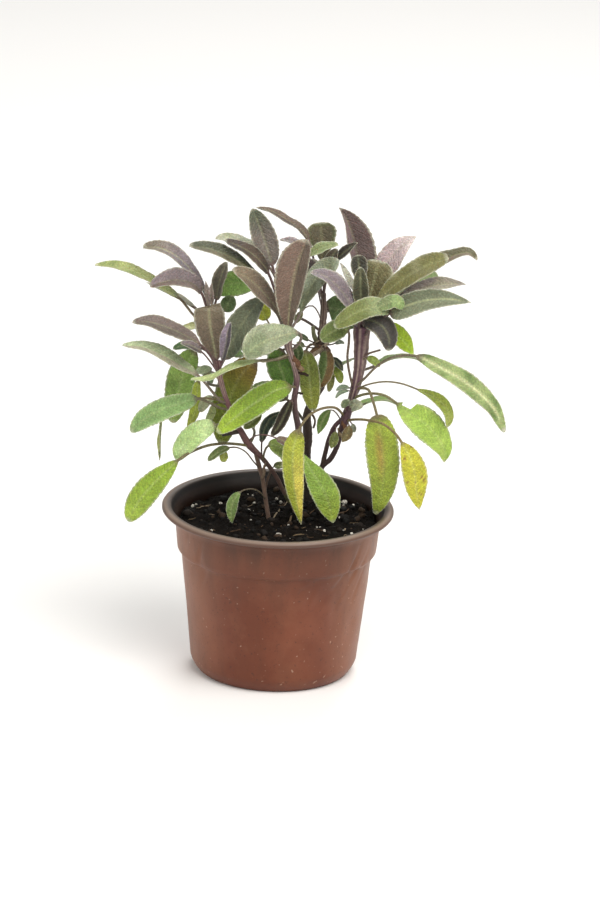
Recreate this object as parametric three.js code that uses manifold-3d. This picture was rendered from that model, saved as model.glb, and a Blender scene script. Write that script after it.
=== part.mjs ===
// A purple sage in a 13 cm nursery pot: the thin plastic pot, the potting soil in it, and four leafy
// stems that stand in plain holes in the soil. Millimetres, +Z up, origin on the pot's axis where its
// flat base rests.

import * as THREE from 'three';
import { mergeVertices } from 'three/addons/utils/BufferGeometryUtils.js';
import Module from 'manifold-3d';

const wasm = await Module();
wasm.setup();

// Pot: outer radii and heights of the wall, the collar and the rolled rim
const POT_HEIGHT = 96;
const BASE_RADIUS = 42.5;
const HEEL_RADIUS = 46.8;
const HEEL_HEIGHT = 8;
const WALL_TOP_RADIUS = 53.6;
const WALL_TOP_HEIGHT = 69;
const COLLAR_RADIUS = 56;
const COLLAR_HEIGHT = 71.5;
const COLLAR_TOP_RADIUS = 57.5;
const COLLAR_TOP_HEIGHT = 88;
const RIM_RADIUS = 65;
const RIM_INNER_RADIUS = 59.5;
const RIM_UNDERSIDE = 92.8;
const WALL = 1.2;
const POT_SIDES = 36;
const DRAIN_HOLES = 6;
const DRAIN_RADIUS = 4.5;
const DRAIN_CIRCLE = 30;

// Soil: its surface lies below the rim, and each stem's hole is a little wider than the stem
const SOIL_LEVEL = 87;
const SOIL_LUMP = 0.9;
const SOIL_SIDES = 24;
const SOIL_RINGS = [47, 36, 25, 13, 0];
const CLEARANCE = 0.35;
const HOLE_SIDES = 12;

// Stems stand with their feet at this height, in holes that widen upwards by this much. A stem has six
// sides, and a twig thinner than the radius given here has four.
const STEM_FOOT = 74;
const HOLE_FLARE = 1.4;
const HOLE_TOP = 93;
const TWIG_RADIUS = 1;
const STEM_SIDES = 6;
const TWIG_SIDES = 4;

// Leaves: thickness of the blade and of the leaf stalk, and half widths of the stalk and of the tip
const BLADE_THICKNESS = 0.7;
const STALK_THICKNESS = 1.5;
const STALK_EDGE_SHARE = 0.6;
const STALK_WIDTH_SHARE = 0.06;
const STALK_HALF_WIDTHS = [0.45, 0.95];
const TIP_HALF_WIDTH = 0.5;

// The edge of a blade as wide as a large leaf's waves up and down. The rows say how far along the blade
// it is divided, and ROWS_PER_STALK_POINT how often the leaf stalk is.
const EDGE_WAVE = 0.7;
const WAVE_RATE = 9;
const LARGE_LEAF = 9;
const LARGE_BLADE_ROWS = [0, 0.14, 0.36, 0.62, 0.86, 1];
const SMALL_BLADE_ROWS = [0, 0.3, 0.72, 1];
const ROWS_PER_STALK_POINT = 0.7;
const LINE_DIVISIONS = 20;

// A traced point is [across, height, depth]. Across and height lie in the upright plane through the
// pot's axis, met by a line of sight that looks down at this angle. Depth, away from the front, moves
// the point along that line.
const SIGHT_ANGLE = THREE.MathUtils.degToRad(18.7);
const TO_VIEWER = new THREE.Vector3(0, -Math.cos(SIGHT_ANGLE), Math.sin(SIGHT_ANGLE));

// Outlines of a blade: the first number moves the widest place to the tip, the second sharpens both ends
const OUTLINES = {
  oblong: [0.9, 0.5],
  pointed: [0.9, 0.85],
  wide_base: [0.66, 0.6],
  wide_tip: [1.25, 0.55],
  blunt: [1.5, 0.42],
  fan: [2.3, 0.4],
  spoon: [1.7, 0.58],
  spear: [1.3, 0.8],
  tapered: [0.6, 0.8],
};

// A stem is a list of [across, height, depth, radius]
const STEMS = {
  left_leafy_stem: [
    [[10, 79, 15, 1.5], [10, 91, 15, 1.5], [8.5, 96, 14, 1.3], [3, 104, 11, 1.2], [-1, 112, 8, 1.2],
      [-5, 118, 5, 1.2], [-10, 124, 2, 1.4], [-17, 131, -2, 2.1], [-22, 139, -5, 1.8],
      [-24.5, 143, -6, 1.6], [-28, 151, -5, 1.5], [-31.5, 160, -5, 1.5], [-34.5, 170, -5, 1.7],
      [-36, 180, -4, 1.9]],
    [[-5, 74.7, 2, 1.3], [-5, 87, 2, 1.3], [-6.5, 96, 3, 1.2], [-8, 105, 4, 1.2], [-9.2, 112, 4, 1.2],
      [-11, 118, 3.5, 1.3], [-13.6, 127.4, -0.4, 1.2]],
    [[-4.5, 116.5, 5.5, 0.8], [-6.6, 110, 5.3, 0.7], [-7.4, 104, 4.6, 0.7], [-6.7, 97.5, 3.2, 0.7]],
    [[-23.5, 139, -5.2, 1.6], [-28, 137.9, -6, 1.5], [-32.5, 137, -7, 1.4]],
    [[-33.2, 166, -5, 1.4], [-36, 175, 3, 1.4], [-38.5, 186, 13, 1.4], [-40.5, 198, 20, 1.4],
      [-41.5, 211, 24, 2.2]],
  ],
  centre_leafy_stem: [
    [[9.5, 82, 23.6, 2], [9.5, 94.5, 23.6, 2], [10.3, 104, 21, 1.9], [10.5, 118, 17, 1.9],
      [10.3, 132, 12, 1.8], [10, 142, 8.5, 1.8], [8.3, 150, 4, 1.7], [7.2, 158, 0.5, 1.7],
      [8, 166, -2.5, 1.7], [8.3, 172, -4.5, 1.7], [5.5, 182, -7, 1.9], [3, 190, -8.5, 2.4],
      [2.6, 200, -9, 3]],
  ],
  back_leafy_stem: [
    [[16.5, 85.9, 35, 2.9], [16.5, 98.5, 35, 2.9], [15.8, 110, 32, 2.7], [15, 125, 29, 2.7],
      [15.2, 140, 26, 2.6], [14.8, 152, 24, 2.3], [18.5, 160, 22.5, 2], [22.5, 168, 21, 1.9],
      [25.7, 178, 19, 1.9], [24.5, 184, 17.5, 2.2], [21.5, 190, 17, 2.7], [21.5, 199, 18, 2.4],
      [22, 211, 20, 2.2], [21.5, 222, 22, 1.5]],
    [[14.5, 185, 13, 1.2], [18, 188.5, 15, 1.9], [22, 191.5, 17, 2.1], [26, 194.5, 18, 1.2]],
    [[19.5, 192, 16.8, 1.3], [17, 197, 16, 1.4], [16.3, 202, 15.5, 1.1]],
    [[15, 150, 22.5, 0.9], [17.6, 150.2, 19, 0.7], [19.2, 146.5, 17, 0.6], [18.4, 142.2, 16, 0.6]],
  ],
  right_leafy_stem: [
    [[24, 83.8, 29, 2], [24, 96.5, 29, 2], [22.8, 108, 26, 1.7], [24, 119.5, 22.5, 1.6],
      [28.5, 124.3, 20, 1.5], [31.7, 131, 17.5, 1.5], [34, 141, 13.5, 1.7], [36.3, 149, 10, 2.8],
      [38.6, 158, 8, 2], [41, 167, 6.5, 3], [42.8, 178, 5, 3.5], [43.5, 190, 4.5, 4.5],
      [43.5, 203, 4.5, 5.2]],
    [[24.3, 120.5, 22, 1.4], [25.6, 128, 19.5, 1.3], [27.6, 137, 16.5, 1.3], [30.5, 144, 13.5, 1.3],
      [35.5, 149.5, 10.5, 1.2]],
    [[43.5, 184.5, 4, 0.8], [48.5, 187.4, -1, 0.6], [54, 189.3, -4, 0.6]],
  ],
};

// A leaf is [name, width, turn at the base, turn at the tip, fold, outline, stalk points, blade points].
// Width is across the spread blade. Turn, in degrees, rolls the upper face from the viewer towards the
// right-hand side of someone walking from base to tip. Fold, in degrees, raises each half of the blade.
const LEAVES = {
  left_leafy_stem: [
    ['long_arching', 13, 66, 62, 15, 'oblong', [[-40.8, 200, 21], [-50.5, 206.5, 25], [-55, 212, 26.5]],
      [[-58.5, 216, 27], [-68, 221.6, 28], [-77, 227.3, 29], [-87, 232, 30], [-96, 234, 30],
        [-106.6, 234.2, 29]]],
    ['upper_mauve', 14, 62, 55, 18, 'blunt', [[-41.5, 204, 23.5], [-42, 211, 26]],
      [[-44, 218, 28], [-50.5, 229.5, 27], [-58, 238, 26], [-66, 243.3, 25], [-73, 245.3, 24],
        [-79.7, 245, 22]]],
    ['folded_mauve', 16, 50, 45, 25, 'oblong', [[-41.3, 203, 22.5], [-44, 213, 17.5]],
      [[-46.8, 220, 15], [-52, 224.5, 13], [-60, 226.3, 12], [-68, 224.8, 11], [-75.2, 222.3, 11]]],
    ['upright_olive', 12, -50, -50, 15, 'oblong', [[-41, 207, 24], [-39, 213, 26]],
      [[-38.3, 216, 27], [-37, 225, 28], [-34.8, 233, 30], [-33, 238.5, 31]]],
    ['bud_leaf_a', 4, 20, 20, 25, 'pointed', [[-41.5, 208, 24]],
      [[-42.6, 212, 21.5], [-43.4, 219, 20], [-44.3, 226.5, 20]]],
    ['bud_leaf_b', 4, -20, -20, 25, 'pointed', [[-41.3, 208, 24]],
      [[-40.6, 212, 22], [-41, 219, 22], [-41, 225.8, 22.5]]],
    ['green_behind', 15, 10, 10, 10, 'oblong', [[-40.8, 203, 22], [-40.5, 214, 30]],
      [[-39, 220, 34], [-33, 225, 37], [-25, 227, 40], [-15, 227, 42]]],
    ['green_round', 9, 0, 0, 8, 'oblong', [[-40, 197, 19], [-36, 205, 27]],
      [[-34, 209.5, 29], [-31.5, 214, 31], [-29.5, 219, 33]]],
    ['pale_glimpse', 9, 65, 65, 10, 'oblong', [[-40, 195, 18.5], [-43, 197.5, 22]],
      [[-46, 199, 24], [-51.5, 199.9, 26], [-57.5, 199.6, 28]]],
    ['dark_glimpse', 8, 50, 50, 10, 'oblong', [[-37.5, 181, 9], [-42, 185, 6]],
      [[-47, 187.3, 4], [-54, 188.3, 3], [-61.3, 186.2, 2]]],
    ['big_hanging', 16.5, 0, 10, 8, 'oblong', [[-38.3, 185, 12], [-43, 187.5, 14]],
      [[-48.5, 185.5, 15], [-54, 177, 15], [-57.2, 165, 14], [-59, 153, 12], [-60.4, 142.6, 10]]],
    ['upper_rear', 15, 0, 0, 10, 'oblong', [[-41.5, 205, 23.5], [-41.5, 208.5, 32]],
      [[-41, 209.5, 37], [-41, 208.5, 46], [-41, 205, 56], [-41.5, 199, 66]]],
    ['tan_upright', 17.5, 0, 0, 6, 'blunt', [[-35.6, 173, -4.5]],
      [[-36.5, 180, -3.5], [-38.8, 190, -1], [-40.8, 200, 2], [-41.8, 207.5, 5.5], [-42, 210.8, 10.5],
        [-42, 210, 15]]],
    ['long_mauve', 15, 55, 55, 12, 'oblong', [[-35.8, 173, -5], [-40, 182.5, -9]],
      [[-46, 188.8, -12], [-55, 194, -15], [-65, 198.2, -18], [-75, 200.8, -20], [-83.6, 200.4, -21]]],
    ['small_purple', 8, 55, 55, 12, 'oblong', [[-35.3, 172, -6], [-40, 179, -14]],
      [[-45, 184.6, -19], [-51, 187.7, -23], [-56.5, 189.1, -25]]],
    ['long_grey', 14, 58, 58, 14, 'oblong', [[-30, 155.5, -5], [-33.5, 156.2, -7], [-38, 161, -10],
      [-42.5, 166.5, -12]],
      [[-47, 171, -13], [-56, 176.3, -16], [-66, 181.6, -19], [-77, 186, -22], [-88.7, 186.8, -24]]],
    ['narrow_purple', 9, -50, -40, 20, 'oblong', [[-35.5, 173, -5.5]],
      [[-33.5, 180, -9], [-31.5, 190, -11], [-30.8, 197, -11], [-29.3, 202.6, -10]]],
    ['broad_grey', 17, -28, -28, 8, 'oblong', [[-35.6, 174, -4]],
      [[-33, 181, -2.5], [-27.5, 193, -1], [-22, 204, 1], [-16, 213, 3], [-11.8, 217.2, 5]]],
    ['green_drooping', 14, 28, 20, 8, 'oblong', [[-28.5, 151.5, -5], [-33, 152, -7], [-40, 155.2, -11]],
      [[-46.5, 157.2, -14], [-56, 154, -16], [-66, 150, -17.5], [-76, 144, -18], [-83.2, 136.6, -17]]],
    ['thin_yellow', 9, 82, 82, 10, 'pointed', [[-29.5, 153.5, -5], [-36, 157, -4], [-48, 157.5, -4],
      [-60, 154.5, -5]],
      [[-66, 149, -6], [-66.9, 141, -5.5], [-67.3, 131, -4.5], [-67.2, 120.3, -4]]],
    ['yellow_hanging', 8, 40, 40, 10, 'oblong', [[-34, 167.5, -4.5], [-38, 171.5, -1], [-43, 171.5, 2]],
      [[-46, 168, 3], [-47.3, 159, 4], [-48.2, 149, 5], [-51.8, 139.3, 5]]],
    ['grey_glimpse', 7, 45, 45, 10, 'oblong', [[-34.8, 170, -4.5], [-37, 172.5, 0]],
      [[-40, 173.6, 5], [-44, 174.3, 9], [-48.3, 174.4, 11]]],
    ['grey_shoot_leaf', 6, -20, -20, 10, 'oblong', [[-31, 158, -5], [-35, 158.5, -3.5]],
      [[-38, 158.6, -2], [-42, 156, -1], [-45.3, 149.4, 0]]],
    ['green_shoot_leaf', 4.5, 0, 0, 10, 'oblong', [[-30.3, 156, -5], [-35, 155.2, -1.5]],
      [[-38, 153.5, 0], [-38.6, 149, 0.5], [-41.5, 144.3, 1]]],
    ['pale_bent', 13.5, 18, 18, 8, 'oblong', [[-24, 141.5, -6], [-31, 142.3, -10]],
      [[-36, 142.3, -13], [-43, 139.3, -15], [-50, 133.5, -16], [-54.8, 127, -16], [-57.3, 120.6, -15]]],
    ['lower_rear', 15, 0, 0, 10, 'oblong', [[-35.6, 174, -3.5], [-33, 180, 6]],
      [[-31, 184, 14], [-27, 189, 26], [-25, 190, 38], [-24, 187, 50]]],
    ['mid_rear_left', 14, 85, 85, 10, 'oblong', [[-33, 165, -5], [-40, 166, 5]],
      [[-42, 169, 16], [-44, 172, 30], [-47, 173, 42], [-51, 172, 54]]],
    ['low_rear_left', 13, 85, 85, 10, 'oblong', [[-17, 131, -2], [-14.5, 138, 11]],
      [[-16, 142, 21], [-22, 146, 33], [-28, 148, 45], [-32, 147, 57]]],
    ['high_rear_left', 14, 80, 80, 10, 'oblong', [[-40.9, 203, 21.5], [-45, 207, 31]],
      [[-50, 211, 37], [-60, 217, 47], [-69, 221.5, 56], [-78, 226, 63]]],
    ['low_green', 15.5, 15, 15, 8, 'wide_tip', [[-16.5, 130.4, -1.5], [-22, 131.2, -6], [-30, 131.5, -10],
      [-40, 130, -14], [-50, 125.4, -18]],
      [[-56, 120.9, -20], [-63, 113.6, -21.5], [-71, 104.6, -22], [-78, 95, -21], [-83.4, 83.8, -19]]],
    ['small_dark', 7, 48, 48, 12, 'oblong', [[-11, 117.5, 3.5], [-14.5, 121.5, -3], [-19, 127, -8],
      [-24, 129.4, -12]],
      [[-28, 129.2, -14], [-33.5, 126.4, -16], [-39.8, 121, -17]]],
    ['small_round', 5, 0, 0, 10, 'oblong', [[-25.5, 129.4, -12.8], [-28.5, 129, -12]],
      [[-30.2, 127, -11.5], [-31, 124, -11], [-31, 120.4, -10.5]]],
    ['soil_leaf', 7, 20, 20, 12, 'pointed', [[-7, 99, 3.2], [-10.5, 103.5, -4], [-15, 105.2, -10]],
      [[-21, 103.4, -15.5], [-24.6, 98, -17.5], [-25.7, 91, -18.5], [-25.3, 84.6, -18.3]]],
    ['shaded_rising', 8.5, 45, 45, 12, 'oblong', [[-9.8, 122.8, 2], [-10.2, 128, 3]],
      [[-10.2, 133, 4], [-9, 141, 4.5], [-5.5, 147.5, 5], [1.2, 151, 5.5]]],
    ['blue_green', 11, -25, -25, 8, 'oblong', [[-9, 121.5, 2.5], [-8.7, 126.5, -1]],
      [[-6.3, 131.3, -3], [-1.5, 131, -4], [3.5, 127.5, -5], [8, 120, -5]]],
    ['arc_leaf', 6, -30, -30, 10, 'oblong', [[-18, 131.6, -2.5], [-16.2, 135, -5], [-12, 137.2, -7],
      [-6, 137, -8.5]],
      [[-2, 135.6, -9], [3, 133.5, -9.5], [9, 130.5, -9.5]]],
    ['low_inner', 5, 30, 30, 10, 'oblong', [[-5.6, 113, 5.6], [-4.5, 117, 8]],
      [[-3, 118.8, 9], [0, 120, 10], [3.5, 119.2, 11]]],
  ],
  centre_leafy_stem: [
    ['great_upright', 24, -30, -30, 30, 'spoon', [[2.8, 188, -8.5]],
      [[2.7, 195, -9.5], [3, 210, -11], [4.6, 226, -11], [7.5, 240, -9], [11.5, 252, -5]]],
    ['brown_left', 16, 45, 50, 12, 'spoon', [[2, 194, -8]],
      [[0.5, 200, -7], [-5, 212, -4], [-13, 221.5, -5], [-21, 228.5, -9], [-29.3, 233, -12]]],
    ['long_dark', 14, 58, 58, 14, 'blunt', [[1.9, 194, -7], [-3, 207, 0], [-9, 220, 4]],
      [[-14, 228.3, 5], [-23, 236.3, 4], [-33, 241.6, 3], [-43, 245, 1], [-53.7, 246.3, 0]]],
    ['dark_brown', 13.5, 58, 58, 12, 'oblong', [[2, 195, -7.5], [-3, 212, 1], [-6.3, 224, 7]],
      [[-9.5, 232, 8.5], [-15, 239.5, 8], [-23, 245.5, 7], [-34.2, 250.3, 6]]],
    ['upright_grey', 15.5, 5, 5, 25, 'oblong', [[2.3, 198, -7.5], [-1, 214, 8], [-5, 228, 15]],
      [[-7.5, 237, 18], [-11, 248, 20], [-15, 259, 21], [-19.6, 269.6, 20]]],
    ['pale_behind', 12, 60, 60, 12, 'oblong', [[2.6, 193, -6.5], [2, 207, 8], [-5.5, 230, 25]],
      [[-13, 241, 26], [-22, 248.7, 27], [-31, 252.4, 26], [-39.6, 251.9, 24]]],
    ['pale_edged', 11, -58, -58, 10, 'oblong', [[2.7, 196, -7], [3.5, 210, 13], [9, 234, 20.5]],
      [[13, 243.8, 20], [20, 248.3, 18], [28.8, 250.4, 17]]],
    ['grey_right', 15, -35, -35, 10, 'spoon', [[3.3, 198, -8], [6.8, 204.5, -3]],
      [[8.5, 208, -1], [12, 219, 3], [18, 231, 4.5], [29.5, 241, 3]]],
    ['shaded_right', 13, -20, -20, 10, 'blunt', [[3.3, 197, -8], [4.5, 206, 6]],
      [[6, 211, 10], [9, 222, 13], [12.5, 232, 14.5], [17, 241, 14.5]]],
    ['yellow_behind', 9, 0, 0, 10, 'oblong', [[3, 191, -8], [-3, 196, 4], [-7, 201, 10]],
      [[-9.5, 205, 12], [-12, 210, 13], [-13.8, 214.5, 13]]],
    ['rear_spreading', 14, 80, 80, 10, 'oblong', [[8, 168, -3], [4, 173, 8], [0, 177, 18]],
      [[-3, 180, 26], [-7, 184, 38], [-10, 186, 50], [-12, 185.5, 62]]],
    ['pale_band', 12, 72, 72, 10, 'oblong', [[4.5, 185.5, -8], [-4, 181.8, -12], [-10.5, 180.2, -14]],
      [[-13, 180.7, -15], [-22, 178.3, -17], [-32, 173.8, -21], [-41, 169, -23], [-50.5, 168.3, -23]]],
    ['olive_hanging', 20, 5, 18, 6, 'oblong', [[5, 184, -7], [-4, 181.6, -5], [-10, 181.2, -2]],
      [[-14.5, 180.3, 1], [-22.5, 172.5, 5], [-28, 160, 6], [-31, 146, 6], [-32.6, 130.6, 4]]],
    ['sage_broad', 22, 38, 38, 18, 'wide_tip', [[3.8, 187, -8.5], [8.2, 190.5, -12], [10, 195.5, -15]],
      [[8.3, 197.6, -17], [0, 195.5, -20], [-8, 192.6, -22], [-15, 188.3, -23], [-21.2, 182.3, -23]]],
    ['green_below', 15, 0, 10, 8, 'oblong', [[4, 188.5, -8]],
      [[0, 187.5, -4], [-2.2, 181, -3], [0.5, 173, -3], [3.5, 164, -4]]],
    ['dark_below', 6, 0, 0, 10, 'oblong', [[4, 191, -8]],
      [[6.5, 190.5, -4], [8.5, 187, -1], [9, 181.5, 1]]],
    ['lime', 15.5, 15, 15, 8, 'oblong', [[8, 166, -2.6]],
      [[5.3, 166, -8], [-3, 163.6, -13], [-12, 157.5, -17], [-22, 149.6, -20], [-30, 142.3, -21],
        [-35, 137.7, -21]]],
    ['shaded_hanging', 7, 20, 20, 10, 'oblong', [[7.8, 164, -2]],
      [[5.7, 158.5, -3], [2.8, 151, -4], [-1, 142.5, -4], [-5, 136.8, -4]]],
    ['torn_dark', 6, 0, 0, 10, 'oblong', [[8, 167.5, -3], [0, 164.5, -5], [-8, 157, -8]],
      [[-11.3, 150.5, -10], [-15, 145.5, -11], [-20.3, 140.6, -12]]],
    ['green_hanging', 16, -12, -12, 6, 'spear', [[10.2, 134.5, 11], [8.8, 137, 5], [9.3, 133.5, -1]],
      [[12, 128.3, -4], [16.5, 120, -7], [22, 111.3, -9], [27, 102.3, -10], [31.5, 86.8, -9]]],
  ],
  back_leafy_stem: [
    ['thin_arch', 11.5, 66, 62, 14, 'tapered', [[21.7, 218, 21.5], [16.5, 237, 24]],
      [[12.5, 251.5, 27], [7.5, 258.5, 28], [0, 263.8, 28], [-8, 268.3, 27], [-17.3, 271, 25]]],
    ['pale_mauve', 8, 62, 62, 10, 'pointed', [[21.4, 211, 20], [15.5, 235, 33]],
      [[10, 249, 36], [3.5, 252, 36], [-3.8, 252.9, 36]]],
    ['curled_olive', 17, 0, 0, 6, 'fan', [[21.8, 221, 22], [21.3, 234, 29]],
      [[20, 240, 31], [20, 249, 34], [19.3, 257, 36], [18.6, 263.8, 38]]],
    ['mauve_small', 8, -30, -30, 10, 'oblong', [[21.8, 218, 21], [22.5, 228, 14]],
      [[23, 235, 10], [25.3, 242, 9], [28.3, 247.6, 9]]],
    ['dark_pointed', 7.5, -45, -45, 12, 'pointed', [[21.7, 220, 21.5], [23.5, 232, 16]],
      [[26, 239.6, 12], [31, 244.5, 9], [39.2, 251.6, 5]]],
    ['arc_small', 4, 0, 0, 10, 'oblong', [[21.5, 203, 18], [19, 210, 13], [15.7, 214, 9.5],
      [12.3, 213.3, 8]],
      [[10, 210.5, 7.5], [8, 207, 7], [6.3, 203.5, 7]]],
    ['green_broad', 19, -5, -5, 8, 'oblong', [[21.7, 206, 19], [22.5, 210, 23]],
      [[23.8, 213, 25], [29, 213, 27], [35, 209.5, 29], [41, 203.5, 30]]],
    ['olive_front', 12, 0, 0, 8, 'oblong', [[20.5, 190, 16], [15.5, 191.5, 9]],
      [[13, 188, 5], [14.6, 178, 4], [15.8, 167, 4], [18, 152.4, 5]]],
    ['olive_beside', 9.5, -8, -8, 8, 'oblong', [[22.5, 189.5, 17.2], [22.5, 190.5, 12]],
      [[23.5, 189, 8.5], [24.5, 182, 7.5], [23.5, 174, 7], [20.5, 166, 7.5]]],
    ['knob_dark', 4.5, -20, -20, 10, 'pointed', [[25, 183, 17.3], [26.3, 185.3, 14]],
      [[27.5, 184.5, 12], [30.5, 181.5, 10], [34, 176.5, 9]]],
    ['knob_yellow', 5, 0, 0, 10, 'oblong', [[25.4, 180, 18.6]],
      [[28.7, 178.2, 14], [31.5, 174.5, 12], [33, 169.2, 11]]],
    ['knob_olive', 4.2, 0, 0, 10, 'oblong', [[25.4, 178, 19]],
      [[27.7, 175.6, 16], [27.3, 170, 15], [26.3, 164, 15]]],
    ['knob_grey', 3.4, -40, -40, 10, 'oblong', [[23.5, 191.5, 17], [27, 191.8, 14]],
      [[29, 192.8, 12], [31.5, 193.3, 10], [34, 192.8, 9]]],
    ['knob_left', 4, 40, 40, 10, 'oblong', [[20, 191.5, 16.8], [15.8, 193.2, 12]],
      [[14, 194, 10], [11, 195.5, 8], [7.8, 197, 7]]],
    ['knob_lower', 3.4, 40, 40, 10, 'oblong', [[19.5, 189.6, 16], [14, 189.7, 11]],
      [[12, 190.3, 9], [10, 191.3, 8], [7.5, 192.3, 7.5]]],
    ['top_rear', 15, 0, 0, 10, 'oblong', [[21.8, 216, 21], [20, 222, 34]],
      [[18, 226, 42], [16, 229, 52], [15, 230, 62], [15, 228, 72]]],
    ['left_rear', 15, 80, 80, 10, 'oblong', [[21.5, 199, 18], [13, 205, 28]],
      [[5, 209, 36], [-4, 213.5, 46], [-12, 220.5, 56], [-19, 227, 63]]],
    ['right_rear', 14, -80, -80, 10, 'oblong', [[22.5, 168, 21], [26, 174, 31]],
      [[30, 178, 39], [35, 182, 50], [38.5, 184, 61]]],
    ['side_rear', 14, 0, 0, 10, 'oblong', [[21.9, 210, 20], [25, 212, 35]],
      [[29, 213, 43], [34, 213, 53], [38, 210, 63]]],
    ['mid_rear', 15, 0, 0, 10, 'oblong', [[18.5, 160, 22.5], [17.5, 164, 33]],
      [[17, 167, 40], [16, 168.5, 52], [15, 166, 66]]],
    ['low_rear', 14, 20, 20, 10, 'oblong', [[15.2, 143, 25.6], [9, 152, 34]],
      [[3, 159, 42], [-6, 162.5, 50], [-14, 161, 58], [-21, 155, 64]]],
  ],
  right_leafy_stem: [
    ['great_dark', 24.5, 38, 38, 38, 'pointed', [[43.5, 197, 5], [42.8, 214, 12]],
      [[42.3, 224, 16], [40.3, 238, 22], [37.3, 252, 26], [33.5, 264, 28], [28.8, 272.3, 28]]],
    ['pink_pointed', 17, -35, -35, 8, 'pointed', [[44, 199, 5], [46.5, 215, 14]],
      [[50, 228, 19], [56, 240, 22], [63, 249.5, 23], [71.6, 256.8, 22]]],
    ['olive_flat_top', 19.5, -8, -8, 6, 'fan', [[44.2, 200, 4.5]],
      [[45.8, 212, 6], [48, 223, 8], [50, 232.5, 10], [51.5, 242, 12]]],
    ['dark_upright', 10, 0, -10, 22, 'oblong', [[43.5, 203, 3.5]],
      [[42.9, 213, 1], [42.3, 221, 0], [41.9, 229, 0], [41.5, 237.4, 1]]],
    ['dark_curled', 10, 10, 10, 10, 'blunt', [[43.4, 203, 4.5], [42.5, 220, 6]],
      [[42, 228, 7.5], [41, 236, 9], [39.8, 244.6, 10]]],
    ['pale_sliver', 4.5, 30, 30, 10, 'pointed', [[42.8, 203.5, 4], [40.5, 216, 5]],
      [[38.6, 223, 5.5], [35, 231, 6.5], [30.5, 239.5, 7.5]]],
    ['long_curled', 14, -55, -60, 15, 'oblong', [[44.7, 200, 4], [53, 213, 10], [62, 223, 14]],
      [[70, 231, 15], [82, 240.3, 16], [92.5, 245.8, 15], [101.5, 247.9, 14], [106.3, 244, 13]]],
    ['olive_long', 16.5, -42, -42, 10, 'blunt', [[44.3, 204, 4], [47.5, 210, 1]],
      [[51, 216, -1.5], [60, 226.5, -3.5], [70, 234.2, -5], [80, 240.2, -5.5], [89.9, 244.2, -6]]],
    ['grey_mauve', 15, -54, -54, 15, 'pointed', [[45, 198, 2.5], [53, 208, -1]],
      [[61, 216.3, -3], [72, 223.4, -5], [83, 227.6, -7], [91.5, 228.8, -8], [99.8, 229.4, -8]]],
    ['green_side', 17, -36, -36, 8, 'tapered', [[44.8, 197, 2], [51.5, 205, -6]],
      [[58.5, 210.8, -12], [68, 215.3, -17], [79, 218.8, -20], [90, 219.8, -22], [103, 218.3, -23]]],
    ['dark_drooping', 13, -20, -15, 8, 'oblong', [[42, 201.5, 1], [41.5, 205, -4]],
      [[43.5, 206.3, -7], [49.5, 205.8, -11], [55, 202.5, -13.5], [58.3, 196.5, -14.5],
        [58.8, 188.8, -14.5]]],
    ['front_twisted', 14, 35, 25, 10, 'oblong', [[44.4, 203, 2.5], [54, 207, -6]],
      [[58.5, 212, -11], [52, 214.2, -14.5], [44, 212.2, -17], [35.5, 207.3, -18], [27.8, 201.6, -18]]],
    ['dark_front', 12.5, 20, 20, 8, 'oblong', [[40.3, 165.5, 6.8], [38, 173, 3], [36, 184, 0],
      [36.5, 194, -4]],
      [[36, 199.5, -6], [32, 201, -8], [26.5, 198.4, -9], [20.8, 193.6, -9]]],
    ['bright_small', 9, -25, -25, 10, 'wide_tip', [[45, 204.5, 3.5], [48.5, 210, -9]],
      [[50.5, 212.2, -14], [56, 216, -16], [61.5, 217.6, -17], [66.3, 213.6, -16.5]]],
    ['mauve_drooping', 15, 45, 55, 15, 'oblong', [[43, 204, 4], [40.5, 209.5, 1]],
      [[38, 213.3, -1], [33.7, 219.6, -4], [28.3, 226, -6], [21, 231.3, -7], [13.6, 232.9, -7]]],
    ['yellow_pointed', 12, -30, -30, 8, 'pointed', [[44.3, 200, 3.5], [51, 206, 2]],
      [[56.5, 205.5, 0], [62, 200.3, -2], [67, 194.6, -3], [72.8, 187.3, -4]]],
    ['small_green', 5, -20, -20, 10, 'oblong', [[43, 182.5, 4]],
      [[47, 184.5, -1], [50.5, 183, -3], [54.2, 179.6, -4]]],
    ['long_pale', 12.5, -28, -28, 12, 'oblong', [[41.5, 168, 5], [46, 172.5, 1], [53, 180.2, -5],
      [62, 185.6, -10]],
      [[74, 186.2, -14], [86, 180.7, -17], [98, 174.2, -19], [109, 166.2, -20], [118, 157, -20],
        [124.6, 143.4, -19]]],
    ['narrow_olive', 8.5, -40, -40, 12, 'wide_tip', [[41.6, 166, 5.5], [48, 169, 2], [57, 170.9, -1],
      [66, 170.2, -4]],
      [[75, 167.2, -6], [84, 163.2, -8], [90, 158.8, -9], [93.3, 153, -9], [93.2, 145.3, -8]]],
    ['bright_torn', 18.5, -20, -20, 8, 'pointed', [[39, 159.5, 7.7], [44, 162.5, 4], [51, 163.8, 0],
      [58, 162.6, -4]],
      [[64, 158.6, -6], [72, 152.8, -9], [80, 147.2, -11], [87, 140, -12], [91.6, 132, -12],
        [92, 124.5, -11]]],
    ['streaked_hanging', 19, -5, -5, 6, 'wide_base', [[41.3, 166.5, 6], [48.2, 166, -1], [50.8, 160, -5]],
      [[53.4, 151.3, -8], [55.4, 142, -10], [57, 131, -11], [58.4, 118, -10], [57.8, 105, -8],
        [54.7, 92.5, -6]]],
    ['yellow_spotted', 14.5, -10, -10, 8, 'pointed', [[37, 147.5, 9.5], [42, 148.2, 0], [48, 148, -9],
      [57, 146, -16], [64, 140.6, -18]],
      [[67.4, 136, -18], [72, 128, -19], [75.5, 118, -19], [77, 107, -18], [79, 96.3, -16]]],
    ['yellow_front', 13.5, -18, -18, 12, 'tapered', [[35.5, 150, 9.5], [30, 154.7, -3], [22, 153.6, -13],
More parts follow.
